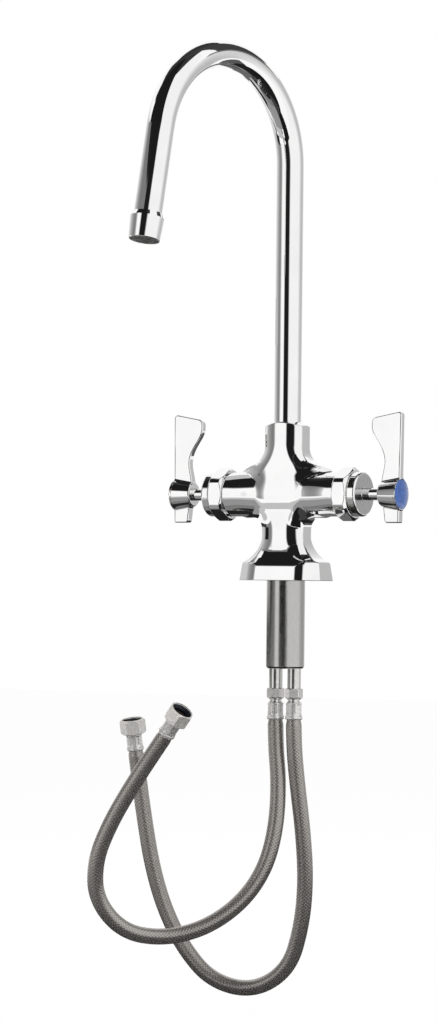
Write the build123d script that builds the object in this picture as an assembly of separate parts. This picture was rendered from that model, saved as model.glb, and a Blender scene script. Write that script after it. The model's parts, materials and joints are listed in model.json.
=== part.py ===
from build123d import *
import math
import os

# Gooseneck lavatory faucet with two quarter-turn wrist-blade handles, for a single hole in the deck.
# The origin is the centre of the body's underside, on the axis of the mounting shank, at deck level.
# +Z is up, +X points to the cold handle, -X to the hot handle and -Y to the user. Sizes are in mm.

INCH = 25.4

# Valve body: its plan is an octagon that is longer between the handles than from front to back
ARM_HEIGHT = 60.3            # handle axis above the deck
ARM_RADIUS = 15.6
ARM_ROOT_RADIUS = 15.95      # of the shoulder where it meets the bonnet
ARM_END = 44.0               # from the spout axis to the end of each arm
COLLAR_TOP = 110.8
COLLAR_HALF = 14.8           # half width across the collar's sides
COLUMN_DEPTH = 11.0          # half depth of collar and waist from front to back
CORNER_ACROSS = 7.0          # width of the octagon's corner facet, along the front
CORNER_BACK = 4.9            # the same, along the side
COLLAR_RIM = 10.3            # radius of the collar's flat top, inside its turned chamfer
COLLAR_CHAMFER = 3.2
WAIST_HALF = 16.1            # half width at the narrow waist
WAIST_HEIGHT = 35.2
COLUMN_FOOT = 24.0           # where the column is lost in the flare of the skirt
SHOULDER_SLOPE = math.tan(math.radians(23))
SHOULDER_CORNER = 85.9       # height where the shoulder's line meets the collar's side
SHOULDER_RADIUS = 10.0
SHOULDER_FOOT_RADIUS = 26.0
SHOULDER_CROWN = 1.3         # rise of the octagonal blank over the turned shoulder
SHOULDER_STEP = 1.2          # of the turned shoulder outside the collar's flats
WAIST_RADIUS = 9.5
SKIRT_TOP = 12.2
SKIRT_EDGE = 1.2             # of the rounded upper edge of the skirt
FLARE_MIDDLE = 20.3          # height of the middle of the skirt's hollow flare
FLARE_OVERLAP = 11.0         # height over the waist to which the flare runs on inside the column
FLARE_SUNK = 0.3             # how far it lies under the column's side there
# Each pair of opposite sides of the skirt: direction of its normal from straight ahead, in degrees, then
# half the distance between the two sides at the deck, at the skirt's top, in mid flare and at the waist
SKIRT_SIDES = (
    (0.0, 18.9, 16.9, 12.7, 11.0),
    (35.0, 26.6, 24.7, 17.7, 14.4),
    (-35.0, 26.6, 24.7, 17.7, 14.4),
    (90.0, 32.3, 30.6, 20.6, 16.1),
)

# Valve cartridges, measured from the spout axis outwards along each arm
CHAMBER_FLOOR = 15.0
CHAMBER_RADIUS = 11.1
COUNTERBORE_FLOOR = 37.0
COUNTERBORE_RADIUS = 12.9
PORT_RADIUS = 3.5
MIXER_PORT_RADIUS = 3.0
MIXER_START = (2.0, 80.0)    # distance from the spout axis and height in the spout socket
MIXER_END = (27.0, 68.0)     # the same in the valve chamber
DISC_RADIUS = 8.9
DISC_THICKNESS = 3.5
DISC_PORT_RADII = (2.4, 7.2)
DISC_PORT_ANGLE = 62.0       # degrees covered by each of the two ports
DISC_GAP = 0.02              # film between the two lapped discs
SEAT_SEAL = 2.0
SEAT_SEAL_BORE = 7.5
CARTRIDGE_RADIUS = 11.0
CARTRIDGE_BORE = 9.0
CARTRIDGE_SHOULDER = 35.0
CARTRIDGE_NECK_RADIUS = 7.5
CARTRIDGE_NECK_END = 50.0
CARTRIDGE_WINDOW = 28.5      # middle of the outlet windows
CARTRIDGE_WINDOW_SIZE = (9.0, 6.0)
FLANGE_THICKNESS = 2.5
WASHER_THICKNESS = 0.8
DRIVE_WIDTH = 3.0            # blade at the inner end of the stem, in the slot of the moving disc
DRIVE_LENGTH = 11.6
DRIVE_DEPTH = 1.8

# Bonnets
BONNET_FLATS = 34.0
BONNET_CORNER_RADIUS = 18.7
BONNET_CHAMFER = 1.6
BONNET_HEX_END = 54.9
BONNET_GROOVE = 0.7
BONNET_COLLAR_RADIUS = 15.6
BONNET_COLLAR_EDGE = 1.6
BONNET_END = 61.3
BONNET_CAVITY = 50.5

# Stems
STEM_RADIUS = 4.25
STEM_BORE = 4.35
STEM_GUIDE_RADIUS = 4.95
STEM_GUIDE_BORE = 5.0
STEM_GUIDE_END = 47.0
STEM_FOOT_RADIUS = 3.2       # of the shaft between the moving disc and the flange
STEM_FLANGE = 2.4
STEM_FLANGE_RADIUS = 8.2
STEM_END = 81.0
STEM_SQUARE = 6.0
STEM_SQUARE_START = 76.0
STEM_O_RING = 40.5
O_RING_SECTION = 0.75
STEM_TAPPED = 11.0           # depth of the hole for the handle screw
SCREW_RADIUS = 2.0
SCREW_LENGTH = 12.0
SCREW_HEAD_RADIUS = 4.4
SCREW_HEAD = 2.6
SCREW_KEY = 2.5              # across flats of its hexagonal socket
SCREW_KEY_DEPTH = 1.8

# Levers, outlined in the plane of the blade: distance from the spout axis, height over the stem
HUB_START = 74.8
HUB_START_RADIUS = 8.4
HUB_END = 90.3
HUB_END_RADIUS = 10.9
HUB_EDGE = 1.0
HUB_WEB = 84.0
BUTTON_SEAT = 88.6
BUTTON_RADIUS = 10.2
BUTTON_DOME = 1.5
BUTTON_SKIRT_RADIUS = 7.9
BLADE_THICKNESS = 6.5
BLADE_TIP_THICKNESS = 4.9
BLADE_EDGE = 0.9
BLADE_OUTER_LOW = (89.7, -20.0)
BLADE_OUTER_HIGH = (91.0, 57.2)
BLADE_TOP_INNER = (67.4, 52.8)
BLADE_SWELL = (67.4, 47.0)   # widest place of the blade
BLADE_MIDDLE = (72.6, 35.9)
BLADE_NECK = (77.8, 23.0)    # narrowest place
BLADE_ROOT = (75.6, 5.0)
BLADE_TAIL = (78.6, -20.0)
BLADE_CORNERS = ((BLADE_OUTER_HIGH, 2.6), (BLADE_TOP_INNER, 4.5), (BLADE_TAIL, 2.4), (BLADE_OUTER_LOW, 1.2))

# Spout
TUBE_RADIUS = 0.75 * INCH / 2
TUBE_WALL = 1.5
SOCKET_RADIUS = 9.6
SOCKET_FLOOR = 76.0
SPIGOT_RADIUS = 9.5
SPIGOT_BORE = 6.2
SPIGOT_FOOT = 84.0
SPIGOT_CHAMFER = 0.6
SPIGOT_SHOULDER = 100.0      # where the tube is brazed on
BRAZED_LENGTH = 8.0          # of the spigot and of the outlet inside the tube
SPOUT_O_RINGS = (88.0, 97.0)
SPOUT_O_RING_SECTION = 0.85
RETAINER_HEIGHT = 91.8
RETAINER_THICKNESS = 1.2
RETAINER_RADIUS = 10.1
RETAINER_PLAY = 0.4          # along the riser on each side of the ring, in the collar's groove
RETAINER_GAP = 4.0
SPOUT_SWING = 9.8            # degrees, as photographed, from straight ahead towards the hot side
BEND_HEIGHT = 289.5          # where the gooseneck's bend starts
BEND_RADIUS = 70.2
LEG_SPLAY = 11.4             # degrees, lean of the outlet leg away from the riser
LEG_LENGTH = 61.5
OUTLET_THREAD_RADIUS = 9.4
OUTLET_THREAD_LENGTH = 8.0
OUTLET_BORE = 6.5
AERATOR_TOP = 60.4           # along the leg, from the end of the bend
AERATOR_CHAMFER = 3.2
AERATOR_BEVEL = 1.5          # by which the top's bevel narrows it
AERATOR_END = 79.0
AERATOR_RADIUS = 11.55
AERATOR_END_RADIUS = 10.65
AERATOR_LIP = 1.2            # thickness of the lip at the mouth
AERATOR_EDGE = 0.4
AERATOR_MOUTH = 1.4          # depth of the screen inside the shell
INSERT_START = 71.4          # along the leg
SCREEN_THICKNESS = 1.2
SCREEN_BORE = 8.6
SCREEN_HOLE = 0.75
SCREEN_PITCH = 2.2

# Mounting shank and supply lines
SHANK_RADIUS = 13.5
SHANK_BORE = 12.4
SHANK_LENGTH = 61.5
SHANK_ENGAGED = 12.0         # length screwed up into the body
SHANK_THREAD_RADIUS = 13.0   # of the threaded end inside the body
SHANK_CHAMFER = 1.4
GASKET_BORE = 14.3
GASKET_RADIUS = 17.2
GASKET_THICKNESS = 2.5
LINE_SPACING = 7.3           # from the spout axis to each supply line
LINE_RADIUS = 4.75
LINE_BORE = 3.5
LINE_TOP = 28.0
NIPPLE_TOP = -75.3
NIPPLE_SOCKET = 5.0
NIPPLE_FLATS = 11.0
NIPPLE_CHAMFER = 0.6
NIPPLE_HEX_END = -82.3
NIPPLE_END = -85.4
NIPPLE_NECK_RADIUS = 4.7     # at the ferrule
FERRULE_RADIUS = 5.6
FERRULE_LIP_RADIUS = 6.1
FERRULE_LENGTH = 11.6
FERRULE_LIP = 2.4
FERRULE_WALL = 1.2           # end wall against which the hose butts
HOSE_RADIUS = 5.0
HOSE_BORE = 3.0
BARB_RADIUS = 2.95
BARB_LENGTH = 9.0
BARB_BORE = 2.0
SLIP = 0.05                  # radial clearance of parts pushed into each other

# Swivel nuts, measured along the line from the back of the nut to its mouth
NUT_FLATS = 15.9
NUT_LENGTH = 10.5
NUT_BORE = 7.1
NUT_RELIEF = 7.4             # radius of the undercut behind the thread
NUT_THREAD = 6.3             # where the undercut ends and the thread starts
NUT_BACK = 2.0
NUT_CHAMFER = 1.1
TAIL_GAP = 0.3
TAIL_NECK_RADIUS = 4.55
TAIL_NECK_BORE = 4.62
TAIL_FLANGE_RADIUS = 6.6
TAIL_FLANGE = 1.5
TAIL_NOSE_RADIUS = 3.6
TAIL_NOSE_END = 5.8
CONE_TAPER = 1.6             # by which the cone washer narrows towards the nut's mouth

# Corners of the route of each braided hose, from its upper end to its lower end.
# The hoses hang side by side and cross twice, with the hot one in front.
HOT_ROUTE = [
    (-7.3, 0.0, -86.6),
    (-7.3, 0.0, -112.0),
    (-3.5, -1.0, -142.0),
    (-3.5, -4.5, -174.0),
    (-9.0, -11.0, -202.5),
    (-22.0, -23.5, -223.5),
    (-41.0, -40.0, -239.5),
    (-62.5, -57.5, -248.5),
    (-83.0, -75.5, -243.0),
    (-96.5, -90.0, -221.5),
    (-95.0, -95.0, -195.0),
    (-85.0, -94.0, -169.5),
    (-70.5, -90.5, -144.0),
    (-55.0, -87.5, -120.5),
    (-36.0, -91.0, -98.0),
]
COLD_ROUTE = [
    (7.3, 0.0, -86.6),
    (7.3, 0.0, -112.0),
    (8.0, 3.5, -142.5),
    (11.5, 9.0, -175.5),
    (13.0, 13.0, -210.0),
    (7.0, 14.0, -242.5),
    (-4.0, 14.0, -272.0),
    (-30.0, 9.5, -287.5),
    (-59.5, 3.5, -283.5),
    (-81.0, -0.5, -261.5),
    (-95.0, -4.5, -234.5),
    (-102.0, -9.5, -204.0),
    (-106.5, -13.5, -168.0),
    (-109.0, -17.5, -135.5),
    (-109.5, -22.5, -111.0),
]
ROUTES = {"hot": HOT_ROUTE, "cold": COLD_ROUTE}
SIDES = {"hot": -1, "cold": 1}

UPWARDS = (Align.CENTER, Align.CENTER, Align.MIN)
BIG = 100.0                  # longer than any cut through the body
NEAR = 0.01                  # tolerance when picking edges by their place

pieces = {}


def turned(*outline):
    """Solid of revolution about Z; the outline is given as (height, radius) corners."""
    corners = [Vector(radius, 0, height) for height, radius in outline]
    return revolve(make_face(Polyline(corners, close=True)), Axis.Z)


def rod(start, end, radius):
    """Cylinder along Z from one height to another."""
    return Pos(0, 0, start) * Cylinder(radius, end - start, align=UPWARDS)


def ring(start, end, bore, radius):
    """Plain ring about Z."""
    return rod(start, end, radius) - rod(start, end, bore)


def hexagon(start, end, across_flats):
    """Hexagonal bar along Z, with two of its corners on the X axis."""
    return Pos(0, 0, start) * extrude(RegularPolygon(across_flats / math.sqrt(3), 6), end - start)


def block(start, end, along_x, along_y):
    """Square-cornered bar along Z from one height to another."""
    return Pos(0, 0, start) * Box(along_x, along_y, end - start, align=UPWARDS)


def o_ring(height, groove_radius, section):
    """O-ring about Z that lies in a groove of the given radius."""
    return Pos(0, 0, height) * Torus(groove_radius + section, section)


def bar(start, end, radius):
    """Cylinder between two points."""
    along = Vector(*end) - Vector(*start)
    place = Plane(origin=start, z_dir=along)
    return place * Cylinder(radius, along.length, align=UPWARDS)


def on_arm(piece, side):
    """Takes a piece from the Z axis to the axis of an arm; its own X axis then points down."""
    turn = Rot(0, 0, 0) if side > 0 else Rot(0, 0, 180)
    return turn * Pos(0, 0, ARM_HEIGHT) * Rot(0, 90, 0) * piece


def both_halves(*right_half):
    """Face bounded by the lines of its right half and their mirror images."""
    right = [edge for line in right_half for edge in line.edges()]
    left = [mirror(edge, about=Plane.YZ).edge() for edge in right]
    return make_face(right + left)


def mirrored_trapezium(low, high):
    """Face with two level sides, given by its lower and upper right corners."""
    corners = [(-low[0], low[1]), low, high, (-high[0], high[1])]
    return make_face(Polyline(corners, close=True))


def valve_column():
    """Collar, shoulders, arms and waist: an octagonal blank whose shoulders are rounded about the arms."""
    low = ARM_HEIGHT - ARM_RADIUS + (ARM_ROOT_RADIUS - ARM_RADIUS)
    high = ARM_HEIGHT + ARM_RADIUS
    foot = COLLAR_HALF + (SHOULDER_CORNER - high) / SHOULDER_SLOPE
    top = high + SHOULDER_CROWN
    crown = SHOULDER_CORNER + SHOULDER_CROWN
    shoulder = FilletPolyline(
        (COLLAR_HALF, COLLAR_TOP), (COLLAR_HALF, crown), (foot, top), (ARM_END, top),
        radius=[SHOULDER_RADIUS, SHOULDER_FOOT_RADIUS])
    armpit = FilletPolyline(
        (ARM_END, low), (WAIST_HALF, low), (WAIST_HALF, COLUMN_FOOT), radius=WAIST_RADIUS)
    face = both_halves(
        Line((0, COLLAR_TOP), (COLLAR_HALF, COLLAR_TOP)), shoulder, Line((ARM_END, top), (ARM_END, low)),
        armpit, Line((WAIST_HALF, COLUMN_FOOT), (0, COLUMN_FOOT)))
    blank = extrude(Plane.XZ * face, amount=COLUMN_DEPTH, both=True)
    for front in blank.faces().filter_by(Axis.Y):
        rims = []
        for edge in front.edges():
            middle = edge.center()
            in_height = COLUMN_FOOT + NEAR < middle.Z < COLLAR_TOP - NEAR
            if in_height and abs(middle.X) < ARM_END - NEAR:
                rims.append(edge)
        flat = blank.faces().sort_by_distance(front.center())[0]
        blank = chamfer(rims, CORNER_ACROSS, CORNER_BACK, reference=flat)
    return blank & shoulder_limit(foot)


def shoulder_limit(foot):
    """Turned shape about the arms' axis that rounds the octagonal shoulders towards the bonnets."""
    side = COLLAR_HALF + SHOULDER_STEP
    end = ARM_END + SHOULDER_STEP
    corner = SHOULDER_CORNER - SHOULDER_STEP * SHOULDER_SLOPE - ARM_HEIGHT
    foot -= (ARM_ROOT_RADIUS - ARM_RADIUS) / SHOULDER_SLOPE
    curve = FilletPolyline(
        (side, BIG), (side, corner), (foot, ARM_ROOT_RADIUS), (end, ARM_ROOT_RADIUS),
        radius=[SHOULDER_RADIUS - 2, SHOULDER_FOOT_RADIUS])
    closing = Polyline((end, ARM_ROOT_RADIUS), (end, 0), (0, 0), (0, BIG), (side, BIG))
    face = make_face(curve.edges() + closing.edges())
    half = revolve(Plane.XZ * face, Axis.X)
    return Pos(0, 0, ARM_HEIGHT) * (half + mirror(half, about=Plane.YZ))


def skirt():
    """Octagonal skirt with its hollow flare up to the waist: four slabs cut by each other."""
    solid = None
    for turn, deck, top, middle, waist in SKIRT_SIDES:
        side = (top, SKIRT_TOP)
        ledge = (top - SKIRT_EDGE, SKIRT_TOP + SKIRT_EDGE)
        narrow = (waist, WAIST_HEIGHT)
        inside = (waist - FLARE_SUNK, WAIST_HEIGHT + FLARE_OVERLAP)
        face = both_halves(
            Polyline((0, 0), (deck, 0), side),
            RadiusArc(side, ledge, -SKIRT_EDGE * 1.05),
            ThreePointArc(ledge, (middle, FLARE_MIDDLE), narrow),
            Polyline(narrow, inside, (0, inside[1])))
        slab = Rot(0, 0, turn - 90) * extrude(Plane.XZ * face, amount=BIG, both=True)
        solid = slab if solid is None else solid & slab
    return solid


def body_passages():
    """Everything bored out of the body: spout socket, valve chambers, ports and the recesses below."""
    groove = RETAINER_THICKNESS / 2 + RETAINER_PLAY
    corner = math.hypot(COLLAR_HALF, COLUMN_DEPTH - CORNER_BACK)
    chamfer_foot = COLLAR_TOP - COLLAR_CHAMFER
    cuts = [
        rod(SOCKET_FLOOR, BIG + COLLAR_TOP, SOCKET_RADIUS),
        rod(RETAINER_HEIGHT - groove, RETAINER_HEIGHT + groove, RETAINER_RADIUS + 0.2),
        turned((COLLAR_TOP, COLLAR_RIM), (chamfer_foot, corner), (chamfer_foot, BIG),
               (COLLAR_TOP + 1, BIG), (COLLAR_TOP + 1, COLLAR_RIM)),
        rod(-1, SHANK_ENGAGED, SHANK_THREAD_RADIUS + SLIP),
        ring(-1, GASKET_THICKNESS, GASKET_BORE, GASKET_RADIUS),
    ]
    for side in SIDES.values():
        line = side * LINE_SPACING
        cuts += [
            on_arm(rod(CHAMBER_FLOOR, ARM_END + 1, CHAMBER_RADIUS), side),
            on_arm(rod(COUNTERBORE_FLOOR, ARM_END + 1, COUNTERBORE_RADIUS), side),
            Pos(line, 0, 0) * rod(SHANK_ENGAGED - 1, LINE_TOP, LINE_RADIUS + SLIP),
            Pos(line, 0, 0) * rod(LINE_TOP - 1, ARM_HEIGHT, PORT_RADIUS),
            bar((line, 0, ARM_HEIGHT), (side * (CHAMBER_FLOOR + 1), 0, ARM_HEIGHT), PORT_RADIUS),
            bar(*[(side * reach, 0, height) for reach, height in (MIXER_START, MIXER_END)], MIXER_PORT_RADIUS),
        ]
    return cuts


def add_valve_body():
    """Forged body, gasket and shank."""
    body = valve_column() + on_arm(rod(-ARM_END, ARM_END, ARM_RADIUS), 1) + skirt()
    for cut in body_passages():
        body -= cut
    pieces["valve_body"] = body
    pieces["base_gasket"] = ring(0, GASKET_THICKNESS, GASKET_BORE + SLIP, GASKET_RADIUS - SLIP)
    pieces["mounting_shank"] = turned(
        (SHANK_ENGAGED, SHANK_BORE), (SHANK_ENGAGED, SHANK_THREAD_RADIUS),
        (0, SHANK_THREAD_RADIUS), (0, SHANK_RADIUS),
        (SHANK_CHAMFER - SHANK_LENGTH, SHANK_RADIUS), (-SHANK_LENGTH, SHANK_RADIUS - SHANK_CHAMFER),
        (-SHANK_LENGTH, SHANK_BORE))


def disc_ports(start, end):
    """The two sector openings of a ceramic disc, on opposite sides of it."""
    cuts = []
    for turn in (0, 180):
        half_angle = math.tan(math.radians(DISC_PORT_ANGLE / 2))
        wedge = make_face(Polyline((0, 0), (DISC_RADIUS, DISC_RADIUS * half_angle),
                                   (DISC_RADIUS, -DISC_RADIUS * half_angle), close=True))
        sector = Pos(0, 0, start) * extrude(wedge, end - start)
        cuts.append(Rot(0, 0, turn) * (sector & ring(start, end, *DISC_PORT_RADII)))
    return cuts


def add_valve(name, side):
    """Cartridge, seat and bonnet in one arm."""
    seat = CHAMBER_FLOOR + SEAT_SEAL
    disc_end = seat + DISC_THICKNESS
    flange_end = COUNTERBORE_FLOOR + FLANGE_THICKNESS
    washer_end = flange_end + WASHER_THICKNESS
    pieces[name + "_seat_seal"] = on_arm(ring(CHAMBER_FLOOR, seat, SEAT_SEAL_BORE, CARTRIDGE_RADIUS), side)
    fixed = rod(seat, disc_end, DISC_RADIUS)
    for cut in disc_ports(seat, disc_end):
        fixed -= cut
    pieces[name + "_fixed_disc"] = on_arm(fixed, side)
    cartridge = turned(
        (seat, CARTRIDGE_BORE), (seat, CARTRIDGE_RADIUS), (COUNTERBORE_FLOOR, CARTRIDGE_RADIUS),
        (COUNTERBORE_FLOOR, COUNTERBORE_RADIUS - SLIP), (flange_end, COUNTERBORE_RADIUS - SLIP),
        (flange_end, CARTRIDGE_NECK_RADIUS), (CARTRIDGE_NECK_END, CARTRIDGE_NECK_RADIUS),
        (CARTRIDGE_NECK_END, STEM_GUIDE_BORE), (CARTRIDGE_SHOULDER, STEM_GUIDE_BORE),
        (CARTRIDGE_SHOULDER, CARTRIDGE_BORE))
    window = Pos(0, 0, CARTRIDGE_WINDOW) * Box(3 * CARTRIDGE_RADIUS, *CARTRIDGE_WINDOW_SIZE)
    pieces[name + "_cartridge_body"] = on_arm(cartridge - window, side)
    pieces[name + "_bonnet_washer"] = on_arm(
        ring(flange_end, washer_end, CARTRIDGE_NECK_RADIUS + SLIP, COUNTERBORE_RADIUS - 0.3), side)
    pieces[name + "_bonnet"] = on_arm(bonnet(washer_end), side)


def bonnet(start):
    """Hexagonal bonnet with a groove, a round collar with a flat face and a spigot in the arm."""
    flat_radius = BONNET_FLATS / 2
    limit = turned(
        (ARM_END, 0), (ARM_END, flat_radius), (ARM_END + BONNET_CHAMFER, BONNET_CORNER_RADIUS),
        (BONNET_HEX_END - BONNET_CHAMFER, BONNET_CORNER_RADIUS),
        (BONNET_HEX_END, flat_radius - 0.6), (BONNET_HEX_END, 0))
    head = hexagon(ARM_END, BONNET_HEX_END, BONNET_FLATS) & limit
    groove_end = BONNET_HEX_END + BONNET_GROOVE
    groove_floor = BONNET_COLLAR_RADIUS - 1
    collar = turned(
        (BONNET_HEX_END, 0), (BONNET_HEX_END, groove_floor), (groove_end, groove_floor),
        (groove_end, BONNET_COLLAR_RADIUS), (BONNET_END, BONNET_COLLAR_RADIUS), (BONNET_END, 0))
    rim = collar.edges().filter_by(GeomType.CIRCLE).sort_by(Axis.Z)[-1]
    collar = fillet(rim, BONNET_COLLAR_EDGE)
    solid = head + collar + rod(start, ARM_END, COUNTERBORE_RADIUS - SLIP)
    solid -= rod(start - 1, BONNET_CAVITY, CARTRIDGE_NECK_RADIUS + SLIP)
    return solid - rod(BONNET_CAVITY - 1, BONNET_END + 1, STEM_BORE)


def stem():
    """Stem with the disc drive at its inner end and a square under the lever at its outer end."""
    disc_end = CHAMBER_FLOOR + SEAT_SEAL + 2 * DISC_THICKNESS + DISC_GAP
    drive_start = disc_end - DRIVE_DEPTH + 0.1
    flange_end = CARTRIDGE_SHOULDER - SLIP
    flange_start = flange_end - STEM_FLANGE
    groove_floor = STEM_GUIDE_RADIUS - 2 * O_RING_SECTION
    groove_half = O_RING_SECTION + 0.2
    solid = turned(
        (disc_end, 0), (disc_end, STEM_FOOT_RADIUS), (flange_start, STEM_FOOT_RADIUS),
        (flange_start, STEM_FLANGE_RADIUS), (flange_end, STEM_FLANGE_RADIUS), (flange_end, STEM_GUIDE_RADIUS),
        (STEM_O_RING - groove_half, STEM_GUIDE_RADIUS), (STEM_O_RING - groove_half, groove_floor),
        (STEM_O_RING + groove_half, groove_floor), (STEM_O_RING + groove_half, STEM_GUIDE_RADIUS),
        (STEM_GUIDE_END, STEM_GUIDE_RADIUS), (STEM_GUIDE_END + 0.7, STEM_RADIUS),
        (STEM_SQUARE_START, STEM_RADIUS), (STEM_SQUARE_START, 0))
    solid += block(drive_start, disc_end + 1.5, DRIVE_WIDTH, DRIVE_LENGTH)
    solid += block(STEM_SQUARE_START, STEM_END, STEM_SQUARE, STEM_SQUARE)
    return solid - rod(STEM_END - STEM_TAPPED, STEM_END + 1, SCREW_RADIUS + SLIP)


def blade():
    """Wrist blade, flat in the plane through both arms and thinner towards its tip."""
    tail_direction = (BLADE_TAIL[0] - BLADE_ROOT[0], BLADE_TAIL[1] - BLADE_ROOT[1])
    outline = make_face([
        Line(BLADE_OUTER_LOW, BLADE_OUTER_HIGH).edge(),
        Line(BLADE_OUTER_HIGH, BLADE_TOP_INNER).edge(),
        Line(BLADE_TOP_INNER, BLADE_SWELL).edge(),
        Spline(BLADE_SWELL, BLADE_MIDDLE, BLADE_NECK, BLADE_ROOT, tangents=[(0, -1), tail_direction]).edge(),
        Line(BLADE_ROOT, BLADE_TAIL).edge(),
        Line(BLADE_TAIL, BLADE_OUTER_LOW).edge(),
    ])
    for corner, radius in BLADE_CORNERS:
        nearest = outline.vertices().sort_by_distance((*corner, 0))[0]
        outline = fillet(nearest, radius)
    low, high = BLADE_OUTER_LOW[1] - 2, BLADE_OUTER_HIGH[1] + 2
    root, tip = BLADE_THICKNESS / 2 + 0.1, BLADE_TIP_THICKNESS / 2
    side_view = mirrored_trapezium((root, low), (tip, high))
    solid = extrude(Plane.XZ * outline, amount=BLADE_THICKNESS, both=True)
    solid &= extrude(Plane.YZ * side_view, amount=BIG, both=True)
    rims = [edge for flat in solid.faces() if abs(flat.normal_at().Y) > 0.9 for edge in flat.edges()]
    return fillet(rims, BLADE_EDGE)


def lever(side):
    """Conical hub and wrist blade in one casting, with a socket for the stem and a seat for the button."""
    hub = turned(
        (HUB_START, 0), (HUB_START, HUB_START_RADIUS), (HUB_END, HUB_END_RADIUS), (HUB_END, 0))
    socket = STEM_SQUARE + 2 * SLIP
    rims = hub.edges().filter_by(GeomType.CIRCLE).sort_by(Axis.Z)
    hub = fillet(rims[0], HUB_EDGE)
    upright = Pos(0, 0, ARM_HEIGHT) * (Rot(0, 90, 0) * hub + blade())
    solid = (Rot(0, 0, 0) if side > 0 else Rot(0, 0, 180)) * upright
    cuts = [
        rod(HUB_START - 1, STEM_SQUARE_START, STEM_RADIUS + SLIP),
        block(STEM_SQUARE_START, STEM_END + SLIP, socket, socket),
        rod(STEM_END - 1, HUB_WEB + 1, SCREW_RADIUS + 0.3),
        rod(HUB_WEB, BUTTON_SEAT + 1, BUTTON_SKIRT_RADIUS + SLIP),
        rod(BUTTON_SEAT, BIG, BUTTON_RADIUS + SLIP),
    ]
    for cut in cuts:
        solid -= on_arm(cut, side)
    return solid


def index_button():
    """Domed index button with the skirt that snaps into the hub."""
    brim = HUB_END - 0.2
    sphere = (BUTTON_RADIUS ** 2 + BUTTON_DOME ** 2) / (2 * BUTTON_DOME)
    crown = Pos(0, 0, brim + BUTTON_DOME - sphere) * Sphere(sphere)
    dome = rod(BUTTON_SEAT, brim + BUTTON_DOME + 1, BUTTON_RADIUS) & crown
    return dome + ring(HUB_WEB + 3, BUTTON_SEAT, BUTTON_SKIRT_RADIUS - 1, BUTTON_SKIRT_RADIUS)


def add_handle(name, side):
    """Lever, button, screw, stem, O-ring and moving disc, which turn together."""
    disc_start = CHAMBER_FLOOR + SEAT_SEAL + DISC_THICKNESS + DISC_GAP
    disc_end = disc_start + DISC_THICKNESS
    slot = block(disc_end - DRIVE_DEPTH, disc_end + 1, DRIVE_WIDTH + 2 * SLIP, DRIVE_LENGTH + 2 * SLIP)
    disc = rod(disc_start, disc_end, DISC_RADIUS)
    for cut in disc_ports(disc_start, disc_end):
        disc -= Rot(0, 0, 90) * cut
    head_end = HUB_WEB + SCREW_HEAD
    screw = rod(HUB_WEB - SCREW_LENGTH, HUB_WEB, SCREW_RADIUS) + rod(HUB_WEB, head_end, SCREW_HEAD_RADIUS)
    screw -= hexagon(head_end - SCREW_KEY_DEPTH, head_end + 1, SCREW_KEY)
    pieces[name + "_moving_disc"] = on_arm(disc - Rot(0, 0, 90) * slot, side)
    pieces[name + "_stem"] = on_arm(Rot(0, 0, 90) * stem(), side)
    pieces[name + "_stem_o_ring"] = on_arm(
        o_ring(STEM_O_RING, STEM_GUIDE_RADIUS - 2 * O_RING_SECTION, O_RING_SECTION), side)
    pieces[name + "_lever"] = lever(side)
    pieces[name + "_handle_screw"] = on_arm(screw, side)
    pieces[name + "_index_button"] = on_arm(index_button(), side)


def spout_path():
    """Centre line of the gooseneck, drawn outwards along X from the riser."""
    splay = math.radians(LEG_SPLAY)
    middle = (math.pi - splay) / 2
    bend_end = (BEND_RADIUS * (1 + math.cos(splay)), 0, BEND_HEIGHT + BEND_RADIUS * math.sin(splay))
    bend_middle = (BEND_RADIUS * (1 - math.cos(middle)), 0, BEND_HEIGHT + BEND_RADIUS * math.sin(middle))
    leg_end = (bend_end[0] + LEG_LENGTH * math.sin(splay), 0, bend_end[2] - LEG_LENGTH * math.cos(splay))
    riser = Line((0, 0, SPIGOT_SHOULDER), (0, 0, BEND_HEIGHT))
    bend = ThreePointArc((0, 0, BEND_HEIGHT), bend_middle, bend_end)
    leg_direction = Vector(math.sin(splay), 0, -math.cos(splay))
    return riser + bend + Line(bend_end, leg_end), Vector(*bend_end), leg_direction


def aerator_shell():
    """Aerator shell along Z, tapering to its mouth, with a bevelled top."""
    lip = AERATOR_END_RADIUS - AERATOR_LIP
    return turned(
        (AERATOR_TOP, SOCKET_RADIUS), (AERATOR_TOP, AERATOR_RADIUS - AERATOR_BEVEL),
        (AERATOR_TOP + AERATOR_CHAMFER, AERATOR_RADIUS), (AERATOR_END - AERATOR_EDGE, AERATOR_END_RADIUS),
        (AERATOR_END, AERATOR_END_RADIUS - AERATOR_EDGE), (AERATOR_END, lip),
        (AERATOR_END - 2 * AERATOR_EDGE, lip), (AERATOR_END - AERATOR_LIP, SOCKET_RADIUS))


def aerator_insert():
    """Flow insert whose lower plate is a screen of small holes."""
    end = AERATOR_END - AERATOR_MOUTH
    solid = rod(INSERT_START, end, SOCKET_RADIUS - SLIP)
    solid -= rod(INSERT_START - 1, end - SCREEN_THICKNESS, SCREEN_BORE)
    holes = [place * Circle(SCREEN_HOLE) for place in HexLocations(SCREEN_PITCH / 2, 9, 9)]
    inside = [hole for hole in holes if hole.center().length < SCREEN_BORE - SCREEN_HOLE]
    return solid - Pos(0, 0, end - SCREEN_THICKNESS - 1) * extrude(Sketch() + inside, SCREEN_THICKNESS + 2)


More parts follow.
